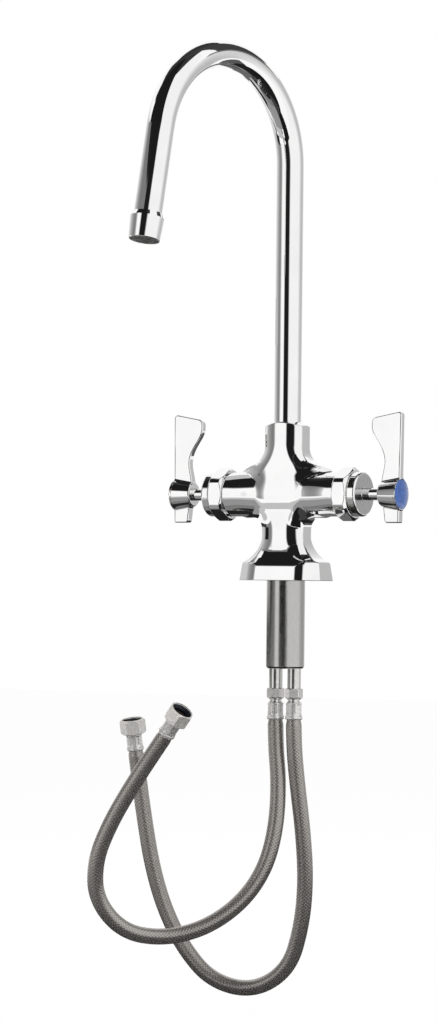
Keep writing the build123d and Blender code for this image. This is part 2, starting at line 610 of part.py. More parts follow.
def add_spout():
    """Gooseneck, its spigot and seals in the collar, and the outlet with its aerator."""
    path, leg_start, leg_direction = spout_path()
    swing = Rot(0, 0, -90 - SPOUT_SWING)
    leg = Plane(origin=leg_start, z_dir=leg_direction)
    section = Pos(0, 0, SPIGOT_SHOULDER) * (Circle(TUBE_RADIUS) - Circle(TUBE_RADIUS - TUBE_WALL))
    pieces["spout_tube"] = swing * sweep(section, path=path)
    neck = TUBE_RADIUS - TUBE_WALL - SLIP
    spigot_top = SPIGOT_SHOULDER + BRAZED_LENGTH
    spigot = turned(
        (SPIGOT_FOOT, SPIGOT_BORE), (SPIGOT_FOOT, SPIGOT_RADIUS - SPIGOT_CHAMFER),
        (SPIGOT_FOOT + SPIGOT_CHAMFER, SPIGOT_RADIUS), (SPIGOT_SHOULDER, SPIGOT_RADIUS),
        (SPIGOT_SHOULDER, neck), (spigot_top, neck), (spigot_top, SPIGOT_BORE))
    groove_floor = SPIGOT_RADIUS - 2 * SPOUT_O_RING_SECTION
    for name, height in zip(("lower", "upper"), SPOUT_O_RINGS):
        spigot -= ring(height - 1, height + 1, groove_floor, SPIGOT_RADIUS + 1)
        pieces["spout_o_ring_" + name] = o_ring(height, groove_floor, SPOUT_O_RING_SECTION)
    low, high = RETAINER_HEIGHT - RETAINER_THICKNESS / 2, RETAINER_HEIGHT + RETAINER_THICKNESS / 2
    retainer_floor = SPIGOT_RADIUS - 1
    spigot -= ring(low - 0.1, high + 0.1, retainer_floor, SPIGOT_RADIUS + 1)
    gap = Pos(RETAINER_RADIUS, 0, 0) * block(low - 1, high + 1, RETAINER_RADIUS, RETAINER_GAP)
    pieces["spout_spigot"] = swing * spigot
    pieces["spout_retaining_ring"] = swing * (ring(low, high, retainer_floor, RETAINER_RADIUS) - gap)
    outlet_start, outlet_end = LEG_LENGTH - BRAZED_LENGTH, LEG_LENGTH + OUTLET_THREAD_LENGTH
    outlet = turned(
        (outlet_start, OUTLET_BORE), (outlet_start, neck), (LEG_LENGTH, neck),
        (LEG_LENGTH, OUTLET_THREAD_RADIUS), (outlet_end, OUTLET_THREAD_RADIUS), (outlet_end, OUTLET_BORE))
    pieces["spout_outlet"] = swing * (leg * outlet)
    washer = ring(outlet_end, INSERT_START, OUTLET_BORE, OUTLET_THREAD_RADIUS)
    pieces["aerator_washer"] = swing * (leg * washer)
    pieces["aerator_insert"] = swing * (leg * aerator_insert())
    pieces["aerator_shell"] = swing * (leg * aerator_shell())


def ferrule(start, end):
    """Crimped ferrule along Z: a lip at the hose's side and an end wall with a hole for the barb."""
    solid = rod(start, end, FERRULE_RADIUS) + rod(start, start + FERRULE_LIP, FERRULE_LIP_RADIUS)
    solid -= rod(start - 1, end - FERRULE_WALL, HOSE_RADIUS + SLIP)
    return solid - rod(start - 1, end + 1, HOSE_BORE)


def hose(name, route):
    """Braided hose along its route, as large arcs between straight runs."""
    points = [Vector(*corner) for corner in route]
    runs = [(b - a) for a, b in zip(points, points[1:])]
    radii = []
    for before, after in zip(runs, runs[1:]):
        half_turn = math.radians(before.get_angle(after)) / 2
        radii.append(0.45 * min(before.length, after.length) / math.tan(half_turn))
    path = FilletPolyline(*points, radius=radii)
    section = Plane(origin=points[0], z_dir=runs[0]) * (Circle(HOSE_RADIUS) - Circle(HOSE_BORE))
    solid = sweep(section, path=path)
    expected = math.pi * (HOSE_RADIUS ** 2 - HOSE_BORE ** 2) * path.length
    print(name, "hose length", round(path.length, 1), "runs", [round(run.length, 1) for run in runs])
    print(name, "hose arc radii", [round(radius) for radius in radii])
    print(name, "hose volume over section times length", round(solid.volume / expected, 5))
    return solid


def swivel_nut():
    """Hexagonal swivel nut along Z, with its mouth at the far end."""
    corner = NUT_FLATS / math.sqrt(3)
    limit = turned(
        (0, 0), (0, NUT_FLATS / 2 - 0.3), (NUT_CHAMFER, corner), (NUT_LENGTH - NUT_CHAMFER, corner),
        (NUT_LENGTH, NUT_FLATS / 2 - 0.1), (NUT_LENGTH, 0))
    solid = hexagon(0, NUT_LENGTH, NUT_FLATS) & limit
    solid -= rod(NUT_BACK, NUT_LENGTH + 1, NUT_BORE) + rod(NUT_BACK, NUT_THREAD, NUT_RELIEF)
    return solid - rod(-1, NUT_BACK + 1, TAIL_NECK_BORE)


def add_supply_line(name, side):
    """Rigid line, nipple, ferrules, braided hose, tail piece and swivel nut of one supply."""
    spot = Pos(side * LINE_SPACING, 0, 0)
    line_end = NIPPLE_TOP - NIPPLE_SOCKET
    pieces[name + "_supply_tube"] = spot * ring(line_end, LINE_TOP, LINE_BORE, LINE_RADIUS)
    flat, corner = NIPPLE_FLATS / 2, NIPPLE_FLATS / math.sqrt(3)
    barb_end = NIPPLE_END - FERRULE_WALL - BARB_LENGTH
    limit = turned(
        (NIPPLE_TOP, 0), (NIPPLE_TOP, flat), (NIPPLE_TOP - NIPPLE_CHAMFER, corner),
        (NIPPLE_HEX_END + NIPPLE_CHAMFER, corner), (NIPPLE_HEX_END, flat), (NIPPLE_HEX_END, 0))
    nipple = Rot(0, 0, 30) * hexagon(NIPPLE_HEX_END, NIPPLE_TOP, NIPPLE_FLATS) & limit
    nipple += turned(
        (NIPPLE_HEX_END, 0), (NIPPLE_HEX_END, flat - 0.3), (NIPPLE_END, NIPPLE_NECK_RADIUS),
        (NIPPLE_END, BARB_RADIUS), (barb_end, BARB_RADIUS), (barb_end, 0))
    nipple -= rod(line_end, NIPPLE_TOP + 1, LINE_RADIUS + SLIP)
    nipple -= rod(barb_end - 1, line_end + 1, BARB_BORE)
    pieces[name + "_hose_nipple"] = spot * nipple
    pieces[name + "_upper_ferrule"] = spot * ferrule(NIPPLE_END - FERRULE_LENGTH, NIPPLE_END)
    route = ROUTES[name]
    pieces[name + "_braided_hose"] = hose(name, route)
    along = (Vector(*route[-1]) - Vector(*route[-2])).normalized()
    back = Vector(*route[-1]) + along * (FERRULE_WALL + TAIL_GAP)
    seat = Plane(origin=back, z_dir=along)
    pieces[name + "_lower_ferrule"] = seat * ferrule(-TAIL_GAP - FERRULE_LENGTH, -TAIL_GAP)
    tail_start = -TAIL_GAP - FERRULE_WALL - BARB_LENGTH
    flange_start = NUT_BACK + 2 * SLIP
    flange_end = flange_start + TAIL_FLANGE
    washer_bore = TAIL_NOSE_RADIUS + SLIP
    pieces[name + "_tail_piece"] = seat * turned(
        (tail_start, BARB_BORE), (tail_start, BARB_RADIUS), (-TAIL_GAP, BARB_RADIUS),
        (-TAIL_GAP, TAIL_NECK_RADIUS), (flange_start, TAIL_NECK_RADIUS),
        (flange_start, TAIL_FLANGE_RADIUS), (flange_end, TAIL_FLANGE_RADIUS),
        (flange_end, TAIL_NOSE_RADIUS), (TAIL_NOSE_END, TAIL_NOSE_RADIUS), (TAIL_NOSE_END, BARB_BORE))
    pieces[name + "_cone_washer"] = seat * turned(
        (flange_end, washer_bore), (flange_end, TAIL_FLANGE_RADIUS),
        (TAIL_NOSE_END, TAIL_FLANGE_RADIUS - CONE_TAPER), (TAIL_NOSE_END, washer_bore))
    pieces[name + "_swivel_nut"] = seat * swivel_nut()
    print(name, "nut back", back, "along", along)


add_valve_body()
add_spout()
for name, side in SIDES.items():
    add_valve(name, side)
    add_handle(name, side)
    add_supply_line(name, side)

os.makedirs("parts", exist_ok=True)
for name, piece in pieces.items():
    export_step(piece, "parts/" + name + ".step")
print(len(pieces), "pieces")
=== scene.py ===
"""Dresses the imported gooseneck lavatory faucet: finishes, braided hoses, smooth castings, camera and studio.

The row frame has its origin under the valve body at deck level, +Z up, +X towards the cold handle and -Y
towards the user. Sizes in the classes are in millimetres and are turned into metres when a mesh is made.
"""
from __future__ import annotations

import json
import logging
import math
from dataclasses import dataclass
from enum import Enum
from typing import Callable, Sequence

import bpy
import numpy as np
from mathutils import Matrix, Vector

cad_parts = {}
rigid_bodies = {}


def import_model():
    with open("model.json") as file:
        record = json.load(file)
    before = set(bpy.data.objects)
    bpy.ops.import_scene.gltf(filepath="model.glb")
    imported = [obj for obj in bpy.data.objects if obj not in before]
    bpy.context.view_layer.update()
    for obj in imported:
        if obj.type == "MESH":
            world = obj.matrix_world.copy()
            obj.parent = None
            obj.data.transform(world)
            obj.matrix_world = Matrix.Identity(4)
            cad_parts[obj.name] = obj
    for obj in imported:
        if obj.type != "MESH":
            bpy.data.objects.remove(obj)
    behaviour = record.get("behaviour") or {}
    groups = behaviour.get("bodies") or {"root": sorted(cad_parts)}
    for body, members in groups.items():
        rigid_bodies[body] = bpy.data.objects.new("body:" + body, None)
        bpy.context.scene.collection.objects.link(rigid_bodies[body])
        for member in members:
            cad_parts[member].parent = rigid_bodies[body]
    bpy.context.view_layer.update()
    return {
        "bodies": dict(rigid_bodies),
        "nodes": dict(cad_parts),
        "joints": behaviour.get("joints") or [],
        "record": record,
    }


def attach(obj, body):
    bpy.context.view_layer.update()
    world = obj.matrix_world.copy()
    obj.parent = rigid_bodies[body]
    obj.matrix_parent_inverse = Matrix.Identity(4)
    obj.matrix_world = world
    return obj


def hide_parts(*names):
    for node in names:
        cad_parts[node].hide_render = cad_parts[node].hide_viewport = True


LOG = logging.getLogger("faucet")
MM = 0.001
TINY = 1e-6
FLAT_COSINE = 0.995

Array = np.ndarray
Field = Callable[[Array, Array, Array], Array]
Pair = tuple[float, float]
Triple = tuple[float, float, float]


class Side(Enum):
    """The two sides of the faucet, with the sign of X on each."""

    HOT = -1
    COLD = 1

    @property
    def label(self) -> str:
        """Start of the names of the pieces on this side."""
        return self.name.lower()

    @property
    def turn(self) -> Matrix:
        """Turn about Z that brings a drawing of the cold side to this side."""
        return Matrix.Rotation(0.0 if self is Side.COLD else math.pi, 4, "Z")


def place_on_arm(side: Side, height: float) -> Matrix:
    """Place of a piece drawn along Z from the spout axis outwards.

    Args:
        side: The side of the faucet.
        height: Height of the handle axis over the deck, in millimetres.

    Returns:
        The matrix, in metres, that lays Z along the arm.
    """
    return side.turn @ Matrix.Translation((0, 0, height * MM)) @ Matrix.Rotation(math.pi / 2, 4, "Y")


def place_along(origin: Sequence[float], direction: Sequence[float]) -> Matrix:
    """Place of a piece drawn along Z that starts at a point and runs in a direction.

    Args:
        origin: Start of the piece, in millimetres.
        direction: Direction of its Z axis.

    Returns:
        The matrix, in metres.
    """
    turn = Vector(direction).normalized().to_track_quat("Z", "Y").to_matrix().to_4x4()
    return Matrix.Translation(Vector(origin) * MM) @ turn


def add_object(name: str, data: bpy.types.ID) -> bpy.types.Object:
    """Makes an object from its data and puts it in the scene.

    Args:
        name: Name of the object.
        data: Its mesh, curve, light or camera.

    Returns:
        The object.
    """
    made = bpy.data.objects.new(name, data)
    bpy.context.scene.collection.objects.link(made)
    return made


def smooth_step(share: Array) -> Array:
    """Soft way from zero to one, for a share that is cut off at both."""
    return share * share * (3 - 2 * share)


# Mesh making


def round_join(a: Array, b: Array, radius: float) -> Array:
    """Union of two solids given as signed distances, with a hollow fillet between them.

    Args:
        a: Distance to the first solid, negative inside.
        b: Distance to the second solid.
        radius: Size of the fillet, exact where the two surfaces are square to each other.

    Returns:
        The signed distance of the union.
    """
    corner = np.hypot(np.maximum(radius - a, 0), np.maximum(radius - b, 0))
    return np.maximum(radius, np.minimum(a, b)) - corner


def round_cut(a: Array, b: Array, radius: float) -> Array:
    """Common part of two solids given as signed distances, with a rounded edge between them."""
    return -round_join(-a, -b, radius)


def place_mesh(name: str, points: Array, faces: Array, normals: Array, place: Matrix,
               body: str, slot: str, finish: "Finish", nodes: Sequence[str]) -> bpy.types.Object:
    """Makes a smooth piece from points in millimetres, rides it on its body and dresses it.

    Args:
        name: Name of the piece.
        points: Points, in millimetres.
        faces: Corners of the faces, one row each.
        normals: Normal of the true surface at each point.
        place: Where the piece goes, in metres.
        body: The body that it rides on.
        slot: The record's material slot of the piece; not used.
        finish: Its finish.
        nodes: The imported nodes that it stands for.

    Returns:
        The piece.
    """
    mesh = bpy.data.meshes.new(name)
    mesh.from_pydata((points * MM).tolist(), [], faces.tolist())
    mesh.transform(place)
    turned = normals @ np.array(place.to_3x3()).T
    mesh.polygons.foreach_set("use_smooth", np.ones(len(faces), dtype=bool))
    mesh.normals_split_custom_set_from_vertices(turned.tolist())
    piece = add_object(name, mesh)
    finish.dress(piece)
    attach(piece, body)
    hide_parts(*nodes)
    LOG.info("%s: %d points", name, len(points))
    return piece


@dataclass
class Casting:
    """A smooth solid given by a signed distance field, meshed on a grid and moved onto its true surface.

    Attributes:
        field: Signed distance in millimetres at arrays of x, y and z, negative inside.
        low: Lowest corner of the grid.
        high: Highest corner of the grid.
        step: Width of a grid cell.
        slope_reach: Share of a cell over which slopes are measured.
        passes: How often the points are moved onto the surface.
        least_slope: Smallest squared slope that a move is worked out with.
    """

    field: Field
    low: Triple
    high: Triple
    step: float
    slope_reach: float = 0.05
    passes: int = 4
    least_slope: float = 0.2

    def slope(self, points: Array) -> Array:
        """Gradient of the field at points, by central differences.

        Args:
            points: The points, one row each.

        Returns:
            The gradients, one row each.
        """
        reach = self.step * self.slope_reach
        columns = []
        for axis in range(3):
            ahead, behind = points.copy(), points.copy()
            ahead[:, axis] += reach
            behind[:, axis] -= reach
            columns.append((self.field(*ahead.T) - self.field(*behind.T)) / (2 * reach))
        return np.stack(columns, axis=1)

    def mesh(self) -> tuple[Array, Array, Array]:
        """Meshes the surface.

        Returns:
            Points, quads and the normal at each point.
        """
        lines = [np.arange(a, b + self.step, self.step) for a, b in zip(self.low, self.high)]
        grid = np.stack(np.meshgrid(*lines, indexing="ij"), axis=-1)
        value = np.broadcast_to(self.field(*np.meshgrid(*lines, indexing="ij", sparse=True)), grid.shape[:3])
        inside = value < 0
        cells = tuple(n - 1 for n in value.shape)
        total, count = np.zeros(cells + (3,)), np.zeros(cells)
        crossings = []
        for axis in range(3):
            near = tuple(slice(None, -1) if k == axis else slice(None) for k in range(3))
            far = tuple(slice(1, None) if k == axis else slice(None) for k in range(3))
            crossed = inside[near] != inside[far]
            share = np.where(crossed, value[near] / np.where(crossed, value[near] - value[far], 1), 0)
            spot = grid[near] + share[..., None] * (grid[far] - grid[near])
            others = [k for k in range(3) if k != axis]
            for shift in ((0, 0), (0, 1), (1, 0), (1, 1)):
                pick = [slice(None)] * 3
                for k, s in zip(others, shift):
                    pick[k] = slice(1 - s, value.shape[k] - s)
                pick = tuple(pick)
                offset = tuple(slice(0, cells[k]) for k in range(3))
                total[offset] += np.where(crossed, 1, 0)[pick][..., None] * spot[pick]
                count[offset] += crossed[pick]
            crossings.append((axis, others, crossed, inside[near]))
        used = count > 0
        number = np.full(cells, -1)
        number[used] = np.arange(used.sum())
        points = total[used] / count[used][:, None]
        faces = []
        for axis, others, crossed, starts_inside in crossings:
            at = np.argwhere(crossed)
            within = (at[:, others] > 0) & (at[:, others] < np.array(value.shape)[others] - 1)
            at = at[within.all(axis=1)]
            corners = []
            for shift in ((0, 0), (1, 0), (1, 1), (0, 1)):
                cell = at.copy()
                cell[:, others[0]] -= shift[0]
                cell[:, others[1]] -= shift[1]
                corners.append(number[tuple(cell.T)])
            quad = np.stack(corners, axis=1)
            forward = starts_inside[tuple(at.T)] != (axis == 1)
            faces.append(np.where(forward[:, None], quad, quad[:, ::-1]))
        faces = np.concatenate(faces)
        for _ in range(self.passes):
            slope = self.slope(points)
            move = self.field(*points.T) / np.maximum((slope ** 2).sum(axis=1), self.least_slope)
            points = points - np.clip(move, -self.step, self.step)[:, None] * slope
        slope = self.slope(points)
        return points, faces, slope / np.linalg.norm(slope, axis=1)[:, None]


def mesh_along_axis(field: Field, reach: float, start: float, end: float, step: float) -> tuple[Array, ...]:
    """Meshes a piece that is drawn along Z.

    Args:
        field: Its signed distance.
        reach: Half the width of the grid.
        start: Lower end of the piece.
        end: Its upper end.
        step: Width of a grid cell.

    Returns:
        Points, quads and the normal at each point.
    """
    return Casting(field, (-reach, -reach, start - 1), (reach, reach, end + 1), step).mesh()


def rounded(outline: Sequence[Triple], fine: float) -> Array:
    """Rounds the corners of a closed outline.

    Args:
        outline: Corners in order, each with the radius of its rounding.
        fine: Largest turn between two points of a rounding, in degrees.

    Returns:
        Points of the rounded outline.
    """
    spots = []
    corners = [np.array(corner[:2], dtype=float) for corner in outline]
    for index, (corner, (_, _, rounding)) in enumerate(zip(corners, outline)):
        before, after = corners[index - 1], corners[(index + 1) % len(corners)]
        into, out = corner - before, after - corner
        into, out = into / np.linalg.norm(into), out / np.linalg.norm(out)
        turn = math.atan2(into[0] * out[1] - into[1] * out[0], into @ out)
        if rounding <= 0 or abs(turn) < TINY:
            spots.append(corner)
            continue
        side, sign = np.array([into[1], -into[0]]), math.copysign(1, turn)
        centre = corner - into * rounding * math.tan(abs(turn) / 2) - side * rounding * sign
        steps = max(2, int(abs(turn) / math.radians(fine)))
        for k in range(steps + 1):
            angle = turn * k / steps
            normal = np.array([side[0] * math.cos(angle) - side[1] * math.sin(angle),
                               side[0] * math.sin(angle) + side[1] * math.cos(angle)])
            spots.append(centre + normal * rounding * sign)
    return np.array(spots)


# Finishes


SHADER_INPUTS = {
    "colour": "Base Color",
    "metallic": "Metallic",
    "roughness": "Roughness",
    "coat": "Coat Weight",
    "specular": "Specular IOR Level",
    "glow_colour": "Emission Color",
}
DIRECT_RAYS = ("Is Camera Ray", "Is Glossy Ray", "Is Transmission Ray")
BLACK_COLOUR = (0.0, 0.0, 0.0, 1.0)
WHITE_COLOUR = (1.0, 1.0, 1.0, 1.0)


class NodeGraph:
    """Small helper that adds shader nodes to one node tree and links them."""

    def __init__(self, tree: bpy.types.NodeTree) -> None:
        """Empties the tree.

        Args:
            tree: Node tree of a material or a world.
        """
        self.tree = tree
        self.tree.nodes.clear()

    def add(self, kind: str, **settings: object) -> bpy.types.Node:
        """Adds one node.

        Args:
            kind: Blender's name of the node type.
            settings: Values for its input sockets by name, or for its properties.

        Returns:
            The node.
        """
        node = self.tree.nodes.new(kind)
        for key, value in settings.items():
            name = key.replace("_", " ").title()
            if hasattr(node, key):
                setattr(node, key, value)
            else:
                node.inputs[name].default_value = value
        return node

    def link(self, start: bpy.types.NodeSocket, end: bpy.types.NodeSocket) -> None:
        """Links two sockets."""
        self.tree.links.new(start, end)

    def maths(self, operation: str, *values: object) -> bpy.types.NodeSocket:
        """Adds one math node.

        Args:
            operation: Blender's name of the operation.
            values: Sockets or plain numbers that it works on.

        Returns:
            The result.
        """
        node = self.add("ShaderNodeMath")
        node.operation = operation
        for slot, value in zip(node.inputs, values):
            if isinstance(value, bpy.types.NodeSocket):
                self.link(value, slot)
            else:
                slot.default_value = value
        return node.outputs["Value"]

    def noise(self, scale: float, detail: float = 3.0, roughness: float = 0.5) -> bpy.types.NodeSocket:
        """Noise over the piece's own coordinates.

        Args:
            scale: Features per metre, roughly.
            detail: Octaves.
            roughness: Weight of the finer octaves.

        Returns:
            The noise value, near one half on average.
        """
        place = self.add("ShaderNodeTexCoord")
        node = self.add("ShaderNodeTexNoise", scale=scale, detail=detail, roughness=roughness)
        self.link(place.outputs["Object"], node.inputs["Vector"])
        return node.outputs["Fac"]

    def spread(self, value: bpy.types.NodeSocket, low: float, high: float,
               start: float = 0.3, end: float = 0.7) -> bpy.types.NodeSocket:
        """Maps a value from one range to another.

        Args:
            value: The socket to map.
            low: Result at the start of the range.
            high: Result at its end.
            start: Start of the range.
            end: End of the range.

        Returns:
            The mapped value.
        """
        node = self.add("ShaderNodeMapRange")
        for key, number in (("From Min", start), ("From Max", end), ("To Min", low), ("To Max", high)):
            node.inputs[key].default_value = number
        self.link(value, node.inputs["Value"])
        return node.outputs["Result"]

    def seen_directly(self) -> bpy.types.NodeSocket:
        """One for rays from the camera, a mirror-like surface or glass, zero for all others.

        Returns:
            A socket with the one or zero.
        """
        path = self.add("ShaderNodeLightPath")
        camera, glossy, glass = (path.outputs[ray] for ray in DIRECT_RAYS)
        return self.maths("MAXIMUM", self.maths("MAXIMUM", camera, glossy), glass)


class MaterialGraph(NodeGraph):
    """Node tree of a new material with one principled shader."""

    def __init__(self, name: str, **inputs: object) -> None:
        """Starts the material.

        Args:
            name: Name of the material.
            inputs: Even values of the shader's inputs, by the names in SHADER_INPUTS.
        """
        self.material = bpy.data.materials.new(name)
        self.material.use_nodes = True
        super().__init__(self.material.node_tree)
        self.output = self.add("ShaderNodeOutputMaterial")
        self.shader = self.add("ShaderNodeBsdfPrincipled")
        self.link(self.shader.outputs["BSDF"], self.output.inputs["Surface"])
        for key, value in inputs.items():
            self.shader.inputs[SHADER_INPUTS[key]].default_value = value

    def tint(self, value: bpy.types.NodeSocket, dark: Triple, light: Triple) -> None:
        """Drives the base colour between two colours.

        Args:
            value: Position between the two.
            dark: Colour at zero.
            light: Colour at one.
        """
        ramp = self.add("ShaderNodeValToRGB")
        for element, colour in zip(ramp.color_ramp.elements, (dark, light)):
            element.color = (*colour, 1)
        self.link(value, ramp.inputs["Fac"])
        self.link(ramp.outputs["Color"], self.shader.inputs["Base Color"])

    def roughen(self, grain: float, smooth: float, rough: float) -> None:
        """Drives the roughness between two values by noise with a number of features per metre."""
        self.link(self.spread(self.noise(grain), smooth, rough), self.shader.inputs["Roughness"])

    def bump(self, height: bpy.types.NodeSocket, depth: float, strength: float = 1.0) -> None:
        """Bumps the shader's normal.

        Args:
            height: Height between zero and one.
            depth: Height of one, in metres.
            strength: Share of the bump that is used.
        """
        node = self.add("ShaderNodeBump", strength=strength, distance=depth)
        self.link(height, node.inputs["Height"])
        self.link(node.outputs["Normal"], self.shader.inputs["Normal"])


COARSE_GRAIN, FINE_GRAIN = 0.37, 2.3  # shares of a finish's grain that its roughness and its bump have


@dataclass(frozen=True)
class Finish:
    """A surface finish made of noise over the piece: colour, roughness and a fine bump.

    Attributes:
        name: Name of the material.
        dark: Base colour in the dark places.
        light: Base colour in the light places.
        metallic: One for bare or plated metal.
        smooth: Lowest roughness.
        rough: Highest roughness.
        grain: Features of the noise per metre.
        relief: Height of the fine bump, in millimetres.
        coat: Weight of a clear coat.
    """

    name: str
    dark: Triple
    light: Triple
    metallic: float = 0.0
    smooth: float = 0.4
    rough: float = 0.6
    grain: float = 300.0
    relief: float = 0.0
    coat: float = 0.0

    def material(self) -> bpy.types.Material:
        """Makes the material, or gives the one that was made before.

        Returns:
            The material.
        """
        known = bpy.data.materials.get(self.name)
        if known is not None and known.get("dressed"):
            return known
        graph = MaterialGraph(self.name, metallic=self.metallic, coat=self.coat)
        graph.tint(graph.spread(graph.noise(self.grain), 0.0, 1.0), self.dark, self.light)
        graph.roughen(self.grain * COARSE_GRAIN, self.smooth, self.rough)
        if self.relief:
            graph.bump(graph.noise(self.grain * FINE_GRAIN), self.relief * MM)
        graph.material["dressed"] = True
        return graph.material

    def dress(self, *pieces: bpy.types.Object) -> None:
        """Gives the finish to pieces or carried-over nodes.

        Args:
            pieces: The objects to dress.
        """
        for piece in pieces:
            if not piece.material_slots:
                piece.data.materials.append(None)
            for slot in piece.material_slots:
                slot.material = self.material()


CHROME = Finish("chrome_plate", (0.92, 0.92, 0.92), (0.96, 0.96, 0.955), 1.0, 0.03, 0.05, 60.0)
SATIN_NICKEL = Finish("satin_nickel", (0.50, 0.49, 0.478), (0.56, 0.55, 0.537), 1.0,
                      0.15, 0.20, 900.0, 0.0008)
BRIGHT_NICKEL = Finish("bright_nickel", (0.78, 0.765, 0.745), (0.88, 0.865, 0.845), 1.0,
                       0.16, 0.24, 700.0, 0.001)
PALE_NICKEL = Finish("pale_matte_nickel", (0.66, 0.64, 0.61), (0.78, 0.76, 0.73), 0.7,
                     0.40, 0.55, 700.0, 0.006)
BRIGHT_TUBE = Finish("bright_drawn_tube", (0.66, 0.65, 0.63), (0.78, 0.77, 0.75), 1.0, 0.10, 0.18, 400.0)
CRIMPED_STEEL = Finish("crimped_steel", (0.60, 0.59, 0.575), (0.74, 0.73, 0.715), 0.75,
                       0.24, 0.34, 600.0, 0.003)
BRAID_WIRE = Finish("braid_wire", (0.20, 0.185, 0.17), (0.46, 0.44, 0.42), 0.9, 0.28, 0.42, 900.0, 0.01)
BRASS = Finish("machined_brass", (0.50, 0.36, 0.14), (0.62, 0.46, 0.20), 1.0, 0.22, 0.34, 500.0, 0.003)
SPRING_STEEL = Finish("spring_steel", (0.30, 0.30, 0.30), (0.40, 0.40, 0.40), 1.0, 0.25, 0.38, 500.0)
CERAMIC = Finish("lapped_ceramic", (0.80, 0.79, 0.75), (0.88, 0.87, 0.84), 0.0, 0.12, 0.2, 400.0)
RUBBER = Finish("black_rubber", (0.012, 0.012, 0.012), (0.03, 0.03, 0.03), 0.0, 0.55, 0.75, 900.0, 0.01)
FIBRE = Finish("pressed_fibre", (0.16, 0.08, 0.045), (0.26, 0.15, 0.09), 0.0, 0.6, 0.8, 900.0, 0.02)
SCREEN_GREY = Finish("screen_grey", (0.07, 0.068, 0.065), (0.13, 0.125, 0.12), 0.2, 0.4, 0.6, 800.0, 0.01)
BLUE_PLASTIC = Finish("blue_index", (0.012, 0.06, 0.25), (0.022, 0.095, 0.34), 0.0, 0.12, 0.2, 250.0,
                      coat=0.6)
RED_PLASTIC = Finish("red_index", (0.36, 0.012, 0.01), (0.46, 0.022, 0.018), 0.0, 0.12, 0.2, 250.0,
                     coat=0.6)

# Outer faces of the bonnets: the turning's grain and bump, with a darker colour that is a painted reflection
# of the stem and hub.
TURNED_FACE_PAINTED_REFLECTION = Finish("finely_turned_face", (0.55, 0.55, 0.55), (0.66, 0.66, 0.66), 1.0, 0.16, 0.26, 1100.0,
                     0.003)
# Near-black metal for the swivel nuts' bores: painted shade in the recess.
BORE_PAINTED_SHADE = Finish("oiled_dark_bore", (0.035, 0.04, 0.055), (0.07, 0.078, 0.10), 0.8, 0.22, 0.34, 900.0,
                   0.002)

FINISH_OF_SLOT = {
    "polished_chrome": CHROME,
    "satin_nickel": SATIN_NICKEL,
    "pale_nickel": PALE_NICKEL,
    "bright_tube": BRIGHT_TUBE,
    "crimped_steel": CRIMPED_STEEL,
    "braided_steel": BRAID_WIRE,
    "machined_brass": BRASS,
    "spring_steel": SPRING_STEEL,
    "white_ceramic": CERAMIC,
    "black_rubber": RUBBER,
    "fibre_washer": FIBRE,
    "grey_screen": SCREEN_GREY,
    "blue_button": BLUE_PLASTIC,
    "red_button": RED_PLASTIC,
}


@dataclass(frozen=True)
class Braid:
    """Look of the hoses' braid: painted shade that darkens the gaps between the bundles, the wire's own colour
    on the crowns, and a bump for each bundle's single wires.
    """

    name: str = "woven_wire"
    metallic: float = 0.86
    # colour of the gaps between the bundles: painted shade
    gap_painted_shade: Triple = (0.15, 0.14, 0.13)
    crown: Triple = (0.45, 0.425, 0.40)
    crown_range: Pair = (0.1, 0.95)
    grain: float = 1200.0
    smooth: float = 0.21
    rough: float = 0.29
    wires: int = 6
    wire_height: float = 0.02
    wire_strength: float = 0.7

    def material(self) -> bpy.types.Material:
        """Makes the material, or gives the one that was made before.

        Returns:
            The material.
        """
        known = bpy.data.materials.get(self.name)
        if known is not None:
            return known
        graph = MaterialGraph(self.name, metallic=self.metallic)
        relief = graph.add("ShaderNodeAttribute", attribute_name="relief")
        # Base colour darker where the braid is low: painted shade in the gaps, the wire's own colour on the
        # crowns.
        graph.tint(graph.spread(relief.outputs["Fac"], 0.0, 1.0, *self.crown_range), self.gap_painted_shade, self.crown)
        graph.roughen(self.grain, self.smooth, self.rough)
        weave = graph.add("ShaderNodeUVMap", uv_map="weave")
        split = graph.add("ShaderNodeSeparateXYZ")
        graph.link(weave.outputs["UV"], split.inputs["Vector"])
        u, v = split.outputs["X"], split.outputs["Y"]
        over, under = (graph.maths("COSINE", graph.maths("MULTIPLY", graph.maths(
            "ADD", across, graph.maths("ROUND", along)), math.pi)) for along, across in ((u, v), (v, u)))
        top = graph.maths("GREATER_THAN", graph.maths("ADD", over, under), 0.0)
        phase = graph.maths("ADD", graph.maths("MULTIPLY", top, u),
                            graph.maths("MULTIPLY", graph.maths("SUBTRACT", 1.0, top), v))
        turns = graph.maths("MULTIPLY", phase, math.pi * self.wires)
        wires = graph.maths("ABSOLUTE", graph.maths("SINE", turns))
        graph.bump(wires, self.wire_height * MM, self.wire_strength)
        return graph.material


def dress_carried_nodes(frame: dict) -> None:
    """Gives every carried-over node the finish of its material slot.
    """
    for entry in frame["record"]["subparts"]:
        FINISH_OF_SLOT[entry["material_slot"]].dress(frame["nodes"][entry["node"]])


# Pieces


def hexagon(x: Array, y: Array, across_flats: float, edge: float) -> Array:
    """Distance to a hexagonal bar along Z with two corners on the X axis and slightly rounded edges."""
    lean = np.abs(y) / 2 + np.abs(x) * math.sqrt(3) / 2
    return round_cut(np.abs(y) - across_flats / 2, lean - across_flats / 2, edge)


def cone(radius: Array, z: Array, start: Pair, end: Pair) -> Array:
    """Distance to a cone about Z.

    Args:
        radius: Distance from the axis.
        z: Height along it.
        start: Height and radius at one end.
        end: Height and radius at the other end.

    Returns:
        The signed distance.
    """
    rise = (end[1] - start[1]) / (end[0] - start[0])
    return (radius - start[1] - (z - start[0]) * rise) / math.hypot(1, rise)


